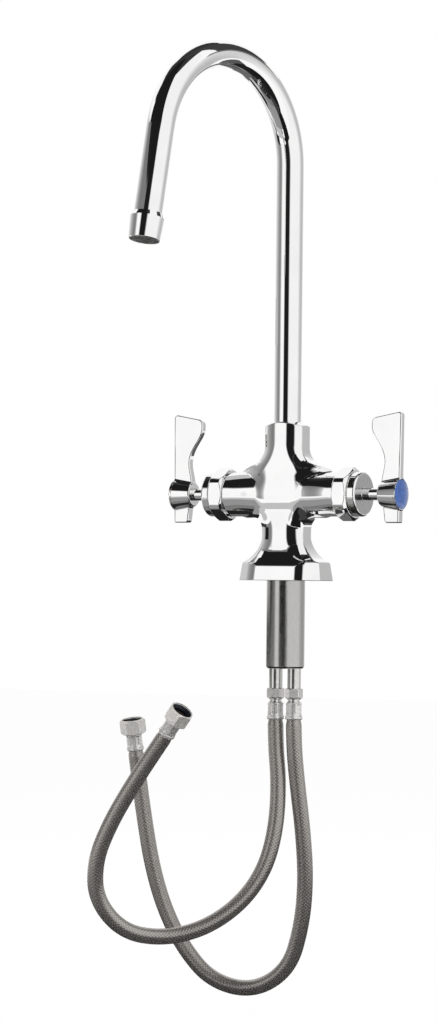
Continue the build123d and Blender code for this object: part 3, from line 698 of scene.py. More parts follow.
@dataclass(frozen=True)
class SkirtSide:
    """One pair of opposite sides of the octagonal skirt, in millimetres.

    Attributes:
        turn: Direction of its normal from straight ahead, in degrees.
        deck: Half the distance between the two sides at the deck.
        top: The same at the upper edge of the skirt.
        middle: The same in the middle of the flare.
        waist: The same at the waist.
    """

    turn: float
    deck: float
    top: float
    middle: float
    waist: float

    def flare(self, ledge: Pair, middle: float, waist: float) -> Triple:
        """Circle of the hollow flare.

        Args:
            ledge: Inset and height where the flare starts.
            middle: Height of its middle.
            waist: Height of the waist.

        Returns:
            Distance of the circle's centre from the axis, its height, and its radius.
        """
        points = np.array([(self.top - ledge[0], ledge[1]), (self.middle, middle), (self.waist, waist)])
        chords = points[1:] - points[:-1]
        right = (chords * (points[1:] + points[:-1]) / 2).sum(axis=1)
        centre = np.linalg.solve(chords, right)
        return centre[0], centre[1], float(np.linalg.norm(points[0] - centre))


@dataclass
class ValveBody:
    """The forged body: octagonal collar, shoulders, round arms, octagonal waist and skirt, in millimetres."""

    arm_height: float = 60.3
    arm_radius: float = 15.6
    arm_root_radius: float = 15.95
    arm_end: float = 44.0
    collar_top: float = 110.8
    collar_half: float = 14.8
    column_depth: float = 11.0  # half the depth of the column, front to back
    corner_across: float = 7.0  # width of the octagon's cut corner along the arms
    corner_back: float = 4.9  # its width from front to back
    collar_rim: float = 10.3
    collar_chamfer: float = 3.2
    waist_half: float = 16.1
    waist_height: float = 35.2
    shoulder_slope: float = 23.0  # degrees that the shoulders fall outwards
    shoulder_corner: float = 85.9  # height where a shoulder leaves the collar
    skirt_top: float = 12.2
    skirt_ledge: float = 1.2
    flare_middle: float = 20.3
    front: SkirtSide = SkirtSide(0.0, 18.9, 16.9, 12.7, 11.0)
    diagonal: SkirtSide = SkirtSide(35.0, 26.6, 24.7, 17.7, 14.4)
    side: SkirtSide = SkirtSide(90.0, 32.3, 30.6, 20.6, 16.1)
    broad_edge: float = 2.6
    crisp_edge: float = 0.7
    arm_fillet: float = 3.0
    arm_root_depth: float = 13.0  # half the depth of the arm where it leaves the column
    arm_root: Pair = (14.0, 40.0)  # places along the arm where it starts and stops swelling
    bulge_reach: float = 20.0  # height over which the front swells towards the arms
    front_reach: float = 9.0  # half the width of the flat front
    front_fall: float = 34.0  # width of the parabola that the front falls away by
    spout_bore: float = 9.6
    spout_socket_floor: float = 76.0
    shank_bore: float = 13.1
    shank_engaged: float = 12.0
    gasket: Triple = (14.3, 17.2, 2.5)
    chamber_radius: float = 12.9
    chamber_floor: float = 37.0
    taper_half: float = 8.0  # half the height over which collar and waist run into each other
    shoulder_hollow: float = 6.1
    arm_top_hollow: float = 2.1
    arm_under_hollow: float = 9.5
    turned_inset: float = 1.2  # gap between the collar and the turned shape
    turned_hollow: float = 4.9
    shoulder_edge: float = 0.8
    bulge_fade: Pair = (2.0, 0.6)  # gain and loss that end the front's fall above and below
    flare_edge: float = 0.9
    skirt_overlap: float = 11.0
    overlap_edge: float = 0.5
    waist_fillet: float = 1.5
    end_edge: float = 0.4
    rim_edge: float = 0.3
    bore_edge: float = 0.2
    margin: float = 1.0
    step: float = 0.6

    def silhouette(self, x: Array, z: Array) -> Array:
        """Distance to the front outline of the collar, shoulders, arms and waist.

        Args:
            x: Places along the arms, in millimetres.
            z: Heights there.

        Returns:
            Signed distances there, negative inside.
        """
        across, height = np.abs(x), z - self.arm_height
        slope = math.radians(self.shoulder_slope)
        upper = np.clip((height + self.taper_half) / (2 * self.taper_half), 0, 1)
        column = across - (self.waist_half + (self.collar_half - self.waist_half) * upper)
        shoulder = ((z - self.shoulder_corner) * math.cos(slope)
                    + (across - self.collar_half) * math.sin(slope))
        above = round_join(round_join(column, shoulder, self.shoulder_hollow), height - self.arm_radius,
                           self.arm_top_hollow)
        below = round_join(column, -height - self.arm_radius, self.arm_under_hollow)
        return np.where(height > 0, above, below)

    def shoulder_limit(self, across: Array, out: Array) -> Array:
        """Distance to the turned shape that rounds the shoulders about the arms' axis.

        Args:
            across: Distances from the middle of the arms.
            out: Distances from the arms' axis.

        Returns:
            Signed distances there, negative inside.
        """
        slope = math.radians(self.shoulder_slope)
        start = self.collar_half + self.turned_inset
        corner = self.shoulder_corner - self.turned_inset * math.tan(slope) - self.arm_height
        shoulder = (out - corner) * math.cos(slope) + (across - start) * math.sin(slope)
        return round_join(round_join(across - start, shoulder, self.turned_hollow),
                          out - self.arm_root_radius, self.arm_top_hollow)

    def column(self, x: Array, y: Array, z: Array) -> Array:
        """Distance to the octagonal blank with its rounded shoulders.

        Args:
            x: Places along X, in millimetres.
            y: Places along Y.
            z: Places along Z.

        Returns:
            Signed distances there, negative inside.
        """
        bulge = np.exp(-((z - self.arm_height) / self.bulge_reach) ** 2)
        beyond = np.maximum(np.abs(x) - self.front_reach, 0)
        front = self.column_depth + (self.arm_root_depth - self.column_depth) * bulge
        gain, loss = self.bulge_fade
        depth = np.abs(y) - front + beyond ** 2 / self.front_fall * np.clip(gain * bulge - loss, 0, 1)
        side = self.silhouette(x, z)
        across, back = self.corner_across, self.corner_back
        bevel = (side * back + depth * across + across * back) / math.hypot(across, back)
        blank = round_cut(round_cut(side, bevel, self.crisp_edge), depth, self.broad_edge)
        out = np.hypot(y, z - self.arm_height)
        return round_cut(blank, self.shoulder_limit(np.abs(x), out), self.shoulder_edge)

    def skirt(self, x: Array, y: Array, z: Array) -> Array:
        """Distance to the octagonal skirt and its hollow flare.

        Args:
            x: Places along X, in millimetres.
            y: Places along Y.
            z: Places along Z.

        Returns:
            Signed distances there, negative inside.
        """
        solid = None
        edges = (self.broad_edge, self.broad_edge, self.crisp_edge)
        for pair, edge in zip((self.front, self.diagonal, self.side), edges):
            turn = math.radians(pair.turn)
            out = np.abs(x) * math.sin(turn) + np.abs(y) * math.cos(turn)
            lean = (pair.deck - pair.top) / self.skirt_top
            face = (out - pair.deck + lean * z) / math.hypot(1, lean)
            centre, height, radius = pair.flare((self.skirt_ledge, self.skirt_top + self.skirt_ledge),
                                                self.flare_middle, self.waist_height)
            flare = radius - np.hypot(centre - out, np.minimum(z - height, 0))
            slab = round_cut(face, flare, self.flare_edge)
            solid = slab if solid is None else round_cut(solid, slab, edge)
        return round_cut(solid, z - self.waist_height - self.skirt_overlap, self.overlap_edge)

    def field(self, x: Array, y: Array, z: Array) -> Array:
        """Distance to the whole body, with its bores.

        Args:
            x: Places along X, in millimetres.
            y: Places along Y.
            z: Places along Z.

        Returns:
            Signed distances there, negative inside.
        """
        out = np.hypot(y, z - self.arm_height)
        radius = np.hypot(x, y)
        share = np.clip((np.abs(x) - self.arm_root[0]) / (self.arm_root[1] - self.arm_root[0]), 0, 1)
        swell = (self.arm_radius - self.arm_root_depth) * smooth_step(share)
        depth = (self.arm_root_depth + swell) / self.arm_radius
        arms = (np.hypot(y / depth, z - self.arm_height) - self.arm_radius) * depth
        arms = round_cut(arms, np.abs(x) - self.arm_end, self.end_edge)
        column = round_cut(self.column(x, y, z), np.abs(x) - self.arm_end, self.end_edge)
        solid = round_join(column, arms, self.arm_fillet)
        solid = round_join(solid, self.skirt(x, y, z), self.waist_fillet)
        corner = math.hypot(self.collar_half, self.column_depth - self.corner_back)
        fall = math.atan2(self.collar_chamfer, corner - self.collar_rim)
        chamfer = (z - self.collar_top) * math.cos(fall) + (radius - self.collar_rim) * math.sin(fall)
        solid = round_cut(solid, round_cut(chamfer, z - self.collar_top, self.rim_edge), self.end_edge)
        solid = round_cut(solid, -z, self.rim_edge)
        socket = np.minimum(self.spout_bore - radius, z - self.spout_socket_floor)
        solid = round_cut(solid, socket, self.bore_edge)
        solid = np.maximum(solid, np.minimum(self.shank_bore - radius, self.shank_engaged - z))
        inner, outer, depth = self.gasket
        solid = np.maximum(solid, np.minimum(np.minimum(outer - radius, radius - inner), depth - z))
        return np.maximum(solid, np.minimum(self.chamber_radius - out, np.abs(x) - self.chamber_floor))

    def build(self) -> bpy.types.Object:
        """Makes the body.

        Returns:
            The body.
        """
        across, depth = self.arm_end + self.margin, self.front.deck + 1.5 * self.margin
        low, high = (-across, -depth, -self.margin), (across, depth, self.collar_top + self.margin)
        return place_mesh("valve_body_casting", *Casting(self.field, low, high, self.step).mesh(), Matrix(),
                          "faucet_body", "polished_chrome", CHROME, ["valve_body"])


@dataclass
class Bonnet:
    """Hexagonal bonnet with a groove and a round collar, along Z from the spout axis, in millimetres."""

    arm_height: float = 60.3
    start: float = 40.3
    seat: float = 44.0
    hex_end: float = 54.9
    end: float = 61.3
    flats: float = 34.0
    corner_radius: float = 18.7
    chamfer: float = 1.6
    groove: float = 0.7
    collar_radius: float = 15.6
    collar_edge: float = 1.6
    spigot_radius: float = 12.85
    cavity_radius: float = 7.55
    cavity_end: float = 50.5
    stem_bore: float = 4.35
    outer_inset: float = 0.6
    hex_edge: float = 0.5
    chamfer_edge: float = 0.3
    face_edge: float = 0.2
    lip_edge: float = 0.25
    neck_inset: float = 1.0
    neck_overlap: float = 2.0
    spigot_overlap: float = 1.0
    step: float = 0.35

    def field(self, x: Array, y: Array, z: Array) -> Array:
        """Distance to the bonnet.

        Args:
            x: Places along X, in millimetres.
            y: Places along Y.
            z: Places along Z.

        Returns:
            Signed distances there, negative inside.
        """
        radius = np.hypot(x, y)
        inner = cone(radius, z, (self.seat, self.flats / 2), (self.seat + self.chamfer, self.corner_radius))
        outer = cone(radius, z, (self.hex_end, self.flats / 2 - self.outer_inset),
                     (self.hex_end - self.chamfer, self.corner_radius))
        turned = np.maximum(np.maximum(inner, outer), radius - self.corner_radius)
        head = round_cut(hexagon(x, y, self.flats, self.hex_edge), turned, self.chamfer_edge)
        head = round_cut(head, np.maximum(self.seat - z, z - self.hex_end), self.face_edge)
        collar = round_cut(radius - self.collar_radius, z - self.end, self.collar_edge)
        collar = round_cut(collar, self.hex_end + self.groove - z, self.lip_edge)
        neck = np.maximum(radius - self.collar_radius + self.neck_inset,
                          np.maximum(z - self.end + self.neck_overlap, self.seat + self.neck_overlap - z))
        spigot = np.maximum(radius - self.spigot_radius,
                            np.maximum(z - self.seat - self.spigot_overlap, self.start - z))
        solid = np.minimum(np.minimum(head, collar), np.minimum(neck, spigot))
        solid = np.maximum(solid, np.minimum(self.cavity_radius - radius, self.cavity_end - z))
        return round_cut(solid, self.stem_bore - radius, self.lip_edge)

    def one(self, side: Side, shape: tuple[Array, ...]) -> bpy.types.Object:
        """Makes one bonnet, whose outer face is finely turned and darker: a painted reflection of the dark
        stem and hub.

        Args:
            side: The side of the faucet.
            shape: Points, quads and normals of a bonnet.

        Returns:
            The bonnet.
        """
        place = place_on_arm(side, self.arm_height)
        piece = place_mesh(side.label + "_bonnet_turned", *shape, place, "faucet_body", "polished_chrome",
                           CHROME, [side.label + "_bonnet"])
        # The outer face takes darker metal: painted reflection of the stem and hub.
        piece.data.materials.append(TURNED_FACE_PAINTED_REFLECTION.material())
        axis = Vector((side.value, 0, 0))
        edge = (self.end - self.face_edge) * MM
        for face in piece.data.polygons:
            if face.normal @ axis > FLAT_COSINE and face.center @ axis > edge:
                face.material_index = 1
        return piece

    def build(self) -> list[bpy.types.Object]:
        """Makes the two bonnets."""
        shape = mesh_along_axis(self.field, self.corner_radius + 1, self.start, self.end, self.step)
        return [self.one(side, shape) for side in Side]


@dataclass
class Lever:
    """Wrist blade and conical hub in one casting, in millimetres.

    It is drawn with X outwards from the spout axis and Z up from the arm's axis. A corner of the blade has
    its X, its Z and the radius of its rounding.
    """

    arm_height: float = 60.3
    hub_start: float = 74.8
    hub_start_radius: float = 8.4
    hub_end: float = 90.3
    hub_end_radius: float = 10.9
    hub_edge: float = 1.0
    web: float = 84.0
    button_seat: float = 88.6
    button_radius: float = 10.25
    button_skirt: float = 7.95
    stem_bore: float = 4.3
    thickness: float = 6.7
    tip_thickness: float = 4.9
    blade_edge: float = 1.0
    hub_fillet: float = 1.3
    corner_turn: float = 4.0
    curve_steps: int = 12
    rim_edge: float = 0.35
    margin: float = 1.0
    outer_low: Triple = (89.7, -20.0, 1.2)
    outer_high: Triple = (91.0, 57.2, 2.6)
    top_inner: Triple = (67.4, 52.8, 4.5)
    swell: Pair = (67.4, 47.0)
    middle: Pair = (72.6, 35.9)
    neck: Pair = (77.8, 23.0)
    root: Pair = (75.6, 5.0)
    tail: Triple = (78.6, -20.0, 2.4)
    step: float = 0.5

    def inner_curve(self) -> list[Triple]:
        """Points of the smooth curve down the blade's inner side, from the swell to the root.

        Returns:
            The points, each with no rounding of its own.
        """
        knots = np.array([self.swell, self.middle, self.neck, self.root])
        last = np.subtract(self.tail[:2], self.root)
        ends = np.array([(0.0, -1.0), last / np.linalg.norm(last)])
        length = np.linalg.norm(np.diff(knots, axis=0), axis=1)
        system, right = np.eye(4), np.zeros((4, 2))
        right[0], right[3] = ends
        for k in (1, 2):
            before, after = length[k - 1], length[k]
            system[k, k - 1:k + 2] = after, 2 * (before + after), before
            right[k] = 3 * (after * (knots[k] - knots[k - 1]) / before
                            + before * (knots[k + 1] - knots[k]) / after)
        slope = np.linalg.solve(system, right)
        points = []
        for k, reach in enumerate(length):
            for t in np.linspace(0, 1, self.curve_steps, endpoint=False):
                spot = ((1 + 2 * t) * (1 - t) ** 2 * knots[k] + t * (1 - t) ** 2 * reach * slope[k]
                        + t ** 2 * (3 - 2 * t) * knots[k + 1] + t ** 2 * (t - 1) * reach * slope[k + 1])
                points.append((spot[0], spot[1], 0.0))
        return points + [(*self.root, 0.0)]

    def outline(self) -> Array:
        """Closed outline of the blade with its rounded corners."""
        corners = [self.outer_low, self.outer_high, self.top_inner, *self.inner_curve(), self.tail]
        return rounded(corners, self.corner_turn)

    def blade(self, x: Array, y: Array, z: Array) -> Array:
        """Distance to the flat blade, thinner towards its tip.

        Args:
            x: Places along X, in millimetres.
            y: Places along Y.
            z: Places along Z.

        Returns:
            Signed distances there, negative inside.
        """
        outline = self.outline()
        nearest, inside = None, None
        for start, end in zip(outline, np.roll(outline, -1, axis=0)):
            side = end - start
            if side @ side < TINY ** 2:
                continue
            share = np.clip(((x - start[0]) * side[0] + (z - start[1]) * side[1]) / (side @ side), 0, 1)
            away = np.hypot(x - start[0] - share * side[0], z - start[1] - share * side[1])
            nearest = away if nearest is None else np.minimum(nearest, away)
            crosses = (z < start[1]) != (z < end[1])
            at = start[0] + (z - start[1]) * side[0] / (side[1] if abs(side[1]) > TINY ** 2 else TINY ** 2)
            passed = crosses & (x < at)
            inside = passed if inside is None else inside ^ passed
        edge = np.where(inside, -nearest, nearest)
        share = np.clip((z - self.outer_low[1]) / (self.outer_high[1] - self.outer_low[1]), 0, 1)
        half = (self.thickness + (self.tip_thickness - self.thickness) * share) / 2
        return round_cut(edge, np.abs(y) - half, self.blade_edge)

    def field(self, x: Array, y: Array, z: Array) -> Array:
        """Distance to the lever with its bores.

        Args:
            x: Places along X, in millimetres.
            y: Places along Y.
            z: Places along Z.

        Returns:
            Signed distances there, negative inside.
        """
        radius = np.hypot(y, z)
        hub = cone(radius, x, (self.hub_start, self.hub_start_radius), (self.hub_end, self.hub_end_radius))
        hub = round_cut(hub, self.hub_start - x, self.hub_edge)
        hub = round_cut(hub, x - self.hub_end, self.rim_edge)
        solid = round_join(self.blade(x, y, z), hub, self.hub_fillet)
        solid = np.maximum(solid, np.minimum(self.button_radius - radius, x - self.button_seat))
        solid = np.maximum(solid, np.minimum(self.button_skirt - radius, x - self.web))
        return np.maximum(solid, self.stem_bore - radius)

    def build(self) -> list[bpy.types.Object]:
        """Makes the two levers.

        Returns:
            The hot lever and the cold one.
        """
        half = self.hub_end_radius + self.margin
        low = (self.swell[0] - self.margin, -half, self.tail[1] - self.margin)
        high = (self.outer_high[0] + self.margin, half, self.outer_high[1] + self.margin)
        shape = Casting(self.field, low, high, self.step).mesh()
        rise = Matrix.Translation((0, 0, self.arm_height * MM))
        return [place_mesh(side.label + "_lever_casting", *shape, side.turn @ rise, side.label + "_handle",
                           "polished_chrome", CHROME, [side.label + "_lever"]) for side in Side]


@dataclass
class Ferrule:
    """Crimped ferrule along Z with a rounded lip at the hose, in millimetres."""

    radius: float = 5.6
    lip_radius: float = 6.1
    lip: float = 2.4
    length: float = 11.6
    wall: float = 1.2
    hose_radius: float = 5.03
    bore: float = 3.0
    dents: int = 8
    dent: float = 0.2
    press_inset: float = 0.9
    press_fade: Pair = (1.0, 0.8)
    end_edge: float = 0.6
    lip_edge: float = 0.7
    lip_fillet: float = 0.4
    step: float = 0.32

    def field(self, x: Array, y: Array, z: Array) -> Array:
        """Distance to the ferrule, pressed in by the jaws of a crimping tool.

        Args:
            x: Places along X, in millimetres.
            y: Places along Y.
            z: Places along Z.

        Returns:
            Signed distances there, negative inside.
        """
        radius = np.hypot(x, y)
        jaw = 0.5 + 0.5 * np.cos(self.dents * np.arctan2(y, x))
        start, end = self.press_fade
        pressed = (np.clip((z - self.lip - self.press_inset) / start, 0, 1)
                   * np.clip((self.length - self.press_inset - z) / end, 0, 1))
        barrel = round_cut(radius - self.radius + self.dent * pressed * (1 - jaw ** 3), z - self.length,
                           self.end_edge)
        lip = round_cut(radius - self.lip_radius, np.abs(z - self.lip / 2) - self.lip / 2, self.lip_edge)
        solid = round_join(np.maximum(barrel, -z), lip, self.lip_fillet)
        solid = np.maximum(solid, np.minimum(self.hose_radius - radius, self.length - self.wall - z))
        return np.maximum(solid, self.bore - radius)

    def build(self, name: str, place: Matrix, body: str, node: str) -> bpy.types.Object:
        """Makes one ferrule.

        Args:
            name: Name of the piece.
            place: Where it goes, in metres.
            body: The body that it rides on.
            node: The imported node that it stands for.

        Returns:
            The ferrule.
        """
        shape = mesh_along_axis(self.field, self.lip_radius + 1, 0, self.length, self.step)
        return place_mesh(name, *shape, place, body, "crimped_steel", CRIMPED_STEEL, [node])


@dataclass
class Nipple:
    """Hexagonal hose nipple on the end of a rigid line, along Z at its own place, in millimetres."""

    top: float = -75.3
    hex_end: float = -82.3
    end: float = -85.4
    flats: float = 11.0
    chamfer: float = 0.7
    neck_radius: float = 4.7
    groove_radius: float = 4.0
    line_radius: float = 4.8
    line_end: float = -80.3
    bore: float = 2.3
    barb_radius: float = 3.0
    barb_end: float = -98.6
    bead: float = 0.9
    collar: float = 1.2
    collar_inset: float = 0.5
    overlap: float = 1.0
    soft_edge: float = 0.3
    chamfer_edge: float = 0.2
    face_edge: float = 0.15
    step: float = 0.3

    def field(self, x: Array, y: Array, z: Array) -> Array:
        """Distance to the nipple.

        Args:
            x: Places along X, in millimetres.
            y: Places along Y.
            z: Places along Z.

        Returns:
            Signed distances there, negative inside.
        """
        radius = np.hypot(x, y)
        corner = self.flats / math.sqrt(3)
        upper = cone(radius, z, (self.top, self.flats / 2), (self.top - self.chamfer, corner))
        lower = cone(radius, z, (self.hex_end, self.flats / 2), (self.hex_end + self.chamfer, corner))
        head = hexagon(y, x, self.flats, self.soft_edge)
        head = round_cut(head, np.maximum(upper, lower), self.chamfer_edge)
        head = round_cut(head, np.maximum(z - self.top, self.hex_end - z), self.face_edge)
        bead = round_cut(radius - self.neck_radius, np.abs(z - self.end - self.bead / 2) - self.bead / 2,
                         self.soft_edge)
        collar = round_cut(radius - self.flats / 2 + self.collar_inset,
                           np.abs(z - self.hex_end + self.collar / 4) - self.collar / 2, self.soft_edge)
        neck = np.maximum(radius - self.groove_radius,
                          np.maximum(self.end - z, z - self.hex_end - self.overlap))
        barb = np.maximum(radius - self.barb_radius,
                          np.maximum(self.barb_end - z, z - self.end - self.overlap))
        solid = np.minimum(np.minimum(head, collar), np.minimum(np.minimum(neck, bead), barb))
        solid = np.maximum(solid, np.minimum(self.line_radius - radius, z - self.line_end))
        return np.maximum(solid, self.bore - radius)


@dataclass
class SwivelNut:
    """Hexagonal swivel nut along Z with its threaded mouth at the far end, in millimetres."""

    flats: float = 15.9
    length: float = 10.5
    chamfer: float = 1.1
    thread_radius: float = 7.1
    thread_depth: float = 0.4
    thread_pitch: float = 1.1
    relief_radius: float = 7.4
    thread_start: float = 6.3
    back: float = 2.0
    neck_bore: float = 4.65
    lower_inset: float = 0.3
    upper_inset: float = 0.1
    hex_edge: float = 0.4
    face_edge: float = 0.3
    relief_gap: float = 0.2
    step: float = 0.26

    def field(self, x: Array, y: Array, z: Array) -> Array:
        """Distance to the nut with its thread.

        Args:
            x: Places along X, in millimetres.
            y: Places along Y.
            z: Places along Z.

        Returns:
            Signed distances there, negative inside.
        """
        radius = np.hypot(x, y)
        corner = self.flats / math.sqrt(3)
        lower = cone(radius, z, (0, self.flats / 2 - self.lower_inset), (self.chamfer, corner))
        upper = cone(radius, z, (self.length, self.flats / 2 - self.upper_inset),
                     (self.length - self.chamfer, corner))
        solid = round_cut(hexagon(x, y, self.flats, self.hex_edge), np.maximum(lower, upper), self.face_edge)
        solid = round_cut(solid, np.abs(z - self.length / 2) - self.length / 2, self.face_edge)
        turn = z / self.thread_pitch - np.arctan2(y, x) / (2 * math.pi)
        crest = np.abs(turn - np.round(turn)) * 2
        cut = self.thread_radius + self.thread_depth * crest
        threaded = np.where(z > self.thread_start, cut, self.relief_radius + self.relief_gap)
        solid = np.maximum(solid, np.minimum(threaded - radius, z - self.back))
        return np.maximum(solid, self.neck_bore - radius)


@dataclass
class SupplyLine:
    """One supply: nipple, upper ferrule, braided hose, lower ferrule and swivel nut.

    Attributes:
        side: The side of the faucet that it feeds.
        route: Points of the hose's route, in metres, in the order from the nipple to the nut.
        length: Length of the hose, in metres.
        offset: Distance of the rigid line from the spout axis, in millimetres.
        radius: Outer radius of the braid, and so on in millimetres.
        end_radius: Its outer radius in the ferrules.
        swell: Distance from an end where the braid starts to widen and where it is full.
        braid_height: Height of the bundles.
        carriers: Number of bundles in each direction.
        weave: Length of hose that a bundle takes to pass one bundle of the other direction.
        around: Points round the hose.
        ring_gap: Length of hose between two rings of points.
        bundle_width: Steepness of a bundle's crown, where two would fill its place.
        bundle_crown: Height of a bundle's crown against its rise over the next bundle.
        spline_order: Order of the route's spline.
        spline_steps: Points of the spline per control point.
        soft_passes: How often the centre line is smoothed.
        ferrule_wall: Thickness of the ferrule's end.
        tail_gap: Gap between the ferrule and the nut.
        bore_shade_margin: Widths past the relief, behind the back and before the mouth where the nut's bore
            gets painted shade.
    """

    side: Side
    route: Sequence[Triple]
    length: float
    offset: float = 7.3
    radius: float = 5.6
    end_radius: float = 4.93
    swell: Pair = (10.0, 15.0)
    braid_height: float = 0.1
    carriers: int = 12
    weave: float = 2.35
    around: int = 96
    ring_gap: float = 0.46
    bundle_width: float = 2.08
    bundle_crown: float = 0.8
    spline_order: int = 3
    spline_steps: int = 48
    soft_passes: int = 6
    ferrule_wall: float = 1.2
    tail_gap: float = 0.3
    bore_shade_margin: Triple = (0.3, 0.1, 1.0)

    def spline(self) -> Array:
        """Points along the hose, in millimetres, from the NURBS spline whose control points are the route.

        Returns:
            The points, one row each.
        """
        curve = bpy.data.curves.new(self.side.label + "_hose_line", "CURVE")
        curve.dimensions = "3D"
        line = curve.splines.new("NURBS")
        line.points.add(len(self.route) - 1)
        for point, place in zip(line.points, self.route):
            point.co = (*place, 1)
        line.order_u = self.spline_order
        line.use_endpoint_u = True
        line.resolution_u = self.spline_steps
        holder = add_object(curve.name, curve)
        mesh = bpy.data.meshes.new_from_object(holder)
        points = np.array([vertex.co[:] for vertex in mesh.vertices]) / MM
        bpy.data.meshes.remove(mesh)
        bpy.data.objects.remove(holder)
        return points

    def rings(self) -> tuple[Array, Array, Array, Array]:
        """Even steps along the spline.

        Returns:
            Distance along the hose, centre, and two directions across the hose that don't twist, per ring.
        """
        points = self.spline()
        along = np.concatenate([[0], np.cumsum(np.linalg.norm(np.diff(points, axis=0), axis=1))])
        count = int(along[-1] / self.ring_gap)
        reach = np.linspace(0, along[-1], count + 1)
        centres = np.stack([np.interp(reach, along, points[:, k]) for k in range(3)], axis=1)
        soft = centres.copy()
        for _ in range(self.soft_passes):
            soft[1:-1] = (soft[:-2] + 2 * soft[1:-1] + soft[2:]) / 4
        heading = np.gradient(soft, axis=0)
        heading /= np.linalg.norm(heading, axis=1)[:, None]
        first = np.empty_like(heading)
        start = np.cross(heading[0], (0.0, 1.0, 0.0))
        first[0] = start / np.linalg.norm(start)
        for k in range(1, len(heading)):
            flat = first[k - 1] - heading[k] * (first[k - 1] @ heading[k])
            first[k] = flat / np.linalg.norm(flat)
        return reach, soft, first, np.cross(heading, first)

    def braid(self, reach: Array) -> tuple[Array, Array, Array]:
        """Weave of flat bundles of wire that pass over and under each other.

        Args:
            reach: Distance of each ring along the hose.

        Returns:
            The two coordinates across the bundles and the braid's height from -1 to 1, per ring and point.
        """
        angle = np.linspace(0, 2 * math.pi, self.around, endpoint=False)
        share = angle[None, :] * self.carriers / (2 * math.pi)
        u, v = (share + way * reach[:, None] / self.weave for way in (1, -1))
        row, column = np.round(u), np.round(v)
        over = np.cos(math.pi * (v + row))
        under = -np.cos(math.pi * (u + column))
        crown, cross_crown = (np.sqrt(np.clip(1 - (self.bundle_width * away) ** 2, 0, 1)) - 1
                              for away in (u - row, v - column))
        lift = np.maximum(over + self.bundle_crown * crown, under + self.bundle_crown * cross_crown)
        return u, v, lift

    def braid_points(self, lift: Array, rings: tuple[Array, Array, Array, Array]) -> Array:
        """Points of the braid in millimetres, per ring and point.

        Args:
            lift: Height of the braid from -1 to 1.
            rings: What rings returned.

        Returns:
            The points.
        """
        reach, centres, first, second = rings
        near_end = np.minimum(reach, reach[-1] - reach)
        share = np.clip((near_end - self.swell[0]) / (self.swell[1] - self.swell[0]), 0, 1)
        round_line = self.end_radius + (self.radius - self.end_radius) * smooth_step(share)
        radius = round_line[:, None] + self.braid_height * (lift - 1.0)
        angle = np.linspace(0, 2 * math.pi, self.around, endpoint=False)
        cosine, sine = np.cos(angle)[None, :, None], np.sin(angle)[None, :, None]
        across = cosine * first[:, None] + sine * second[:, None]
        return centres[:, None] + radius[..., None] * across

    def dress_braid(self, mesh: bpy.types.Mesh, u: Array, v: Array, lift: Array) -> None:
        """Gives the braid its material and what that reads: the height and the coordinates of the weave.

        Args:
            mesh: Mesh of the hose, whose first faces run ring by ring.
            u: Coordinate across the bundles of one direction.
            v: Coordinate across those of the other.
            lift: Height of the braid from -1 to 1.
        """
        relief = mesh.attributes.new("relief", "FLOAT", "POINT")
        relief.data.foreach_set("value", np.clip((lift + 1.0) / 2.0, 0, 1).ravel().astype(np.float32))
        width = np.full(self.around, self.carriers / self.around)
        spots = np.zeros((len(mesh.loops), 2))
        for column, value in enumerate((u, v)):
            corners = np.stack([value[:-1], value[:-1] + width, value[1:] + width, value[1:]], axis=-1)
            spots[:corners.size, column] = corners.reshape(-1)
        mesh.uv_layers.new(name="weave").data.foreach_set("uv", spots.ravel())
        mesh.materials.append(Braid().material())

    def hose(self) -> bpy.types.Object:
        """Makes the hose with its braid.

        Returns:
            The hose.
        """
        label = self.side.label
        rings = self.rings()
        reach, centres = rings[:2]
        u, v, lift = self.braid(reach)
        points = self.braid_points(lift, rings).reshape(-1, 3)
        here = np.arange(lift.size).reshape(lift.shape)
        ahead = np.roll(here, -1, axis=1)
        faces = np.stack([here[:-1], ahead[:-1], ahead[1:], here[1:]], axis=-1).reshape(-1, 4)
        mesh = bpy.data.meshes.new(label + "_hose_braid")
        ends = [here[0][::-1].tolist(), here[-1].tolist()]
        mesh.from_pydata((points * MM).tolist(), [], [*faces.tolist(), *ends])
        mesh.polygons.foreach_set("use_smooth", np.ones(len(mesh.polygons), dtype=bool))
        piece = add_object(mesh.name, mesh)
        self.dress_braid(mesh, u, v, lift)
        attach(piece, "faucet_body")
        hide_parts(label + "_braided_hose")
        LOG.info("%s: %.1f mm of %.1f mm", piece.name, reach[-1], self.length / MM)
        return piece

    def fittings(self, frame: dict, ferrule: Ferrule, nipple: Nipple,
                 nut: SwivelNut) -> list[bpy.types.Object]:
        """Makes the nipple, both ferrules and the swivel nut.

        Args:
            ferrule: Size of both ferrules.
            nipple: Size of the nipple.
            nut: Size of the swivel nut.

        Returns:
            The pieces.
        """
        label = self.side.label
        line = self.side.value * self.offset
        top = ferrule.build(label + "_upper_ferrule_crimped",
                            place_along((line, 0, nipple.end - ferrule.length), (0, 0, 1)), "faucet_body",
                            label + "_upper_ferrule")
        shape = mesh_along_axis(nipple.field, nipple.flats / math.sqrt(3) + 1, nipple.barb_end, nipple.top,
                                nipple.step)
        head = place_mesh(label + "_nipple_turned", *shape, Matrix.Translation((line * MM, 0, 0)),
                          "faucet_body", "satin_nickel", BRIGHT_NICKEL, [label + "_hose_nipple"])
        last, before = (Vector(self.route[k]) / MM for k in (-1, -2))
        heading = (last - before).normalized()
        back = last + heading * (self.ferrule_wall + self.tail_gap)
        low = ferrule.build(label + "_lower_ferrule_crimped",
                            place_along(back - heading * (self.tail_gap + ferrule.length), heading),
                            "faucet_body", label + "_lower_ferrule")
        node = frame["nodes"][label + "_swivel_nut"]
        return [top, head, low, self.swivel_nut(nut, node, place_along(back, heading))]

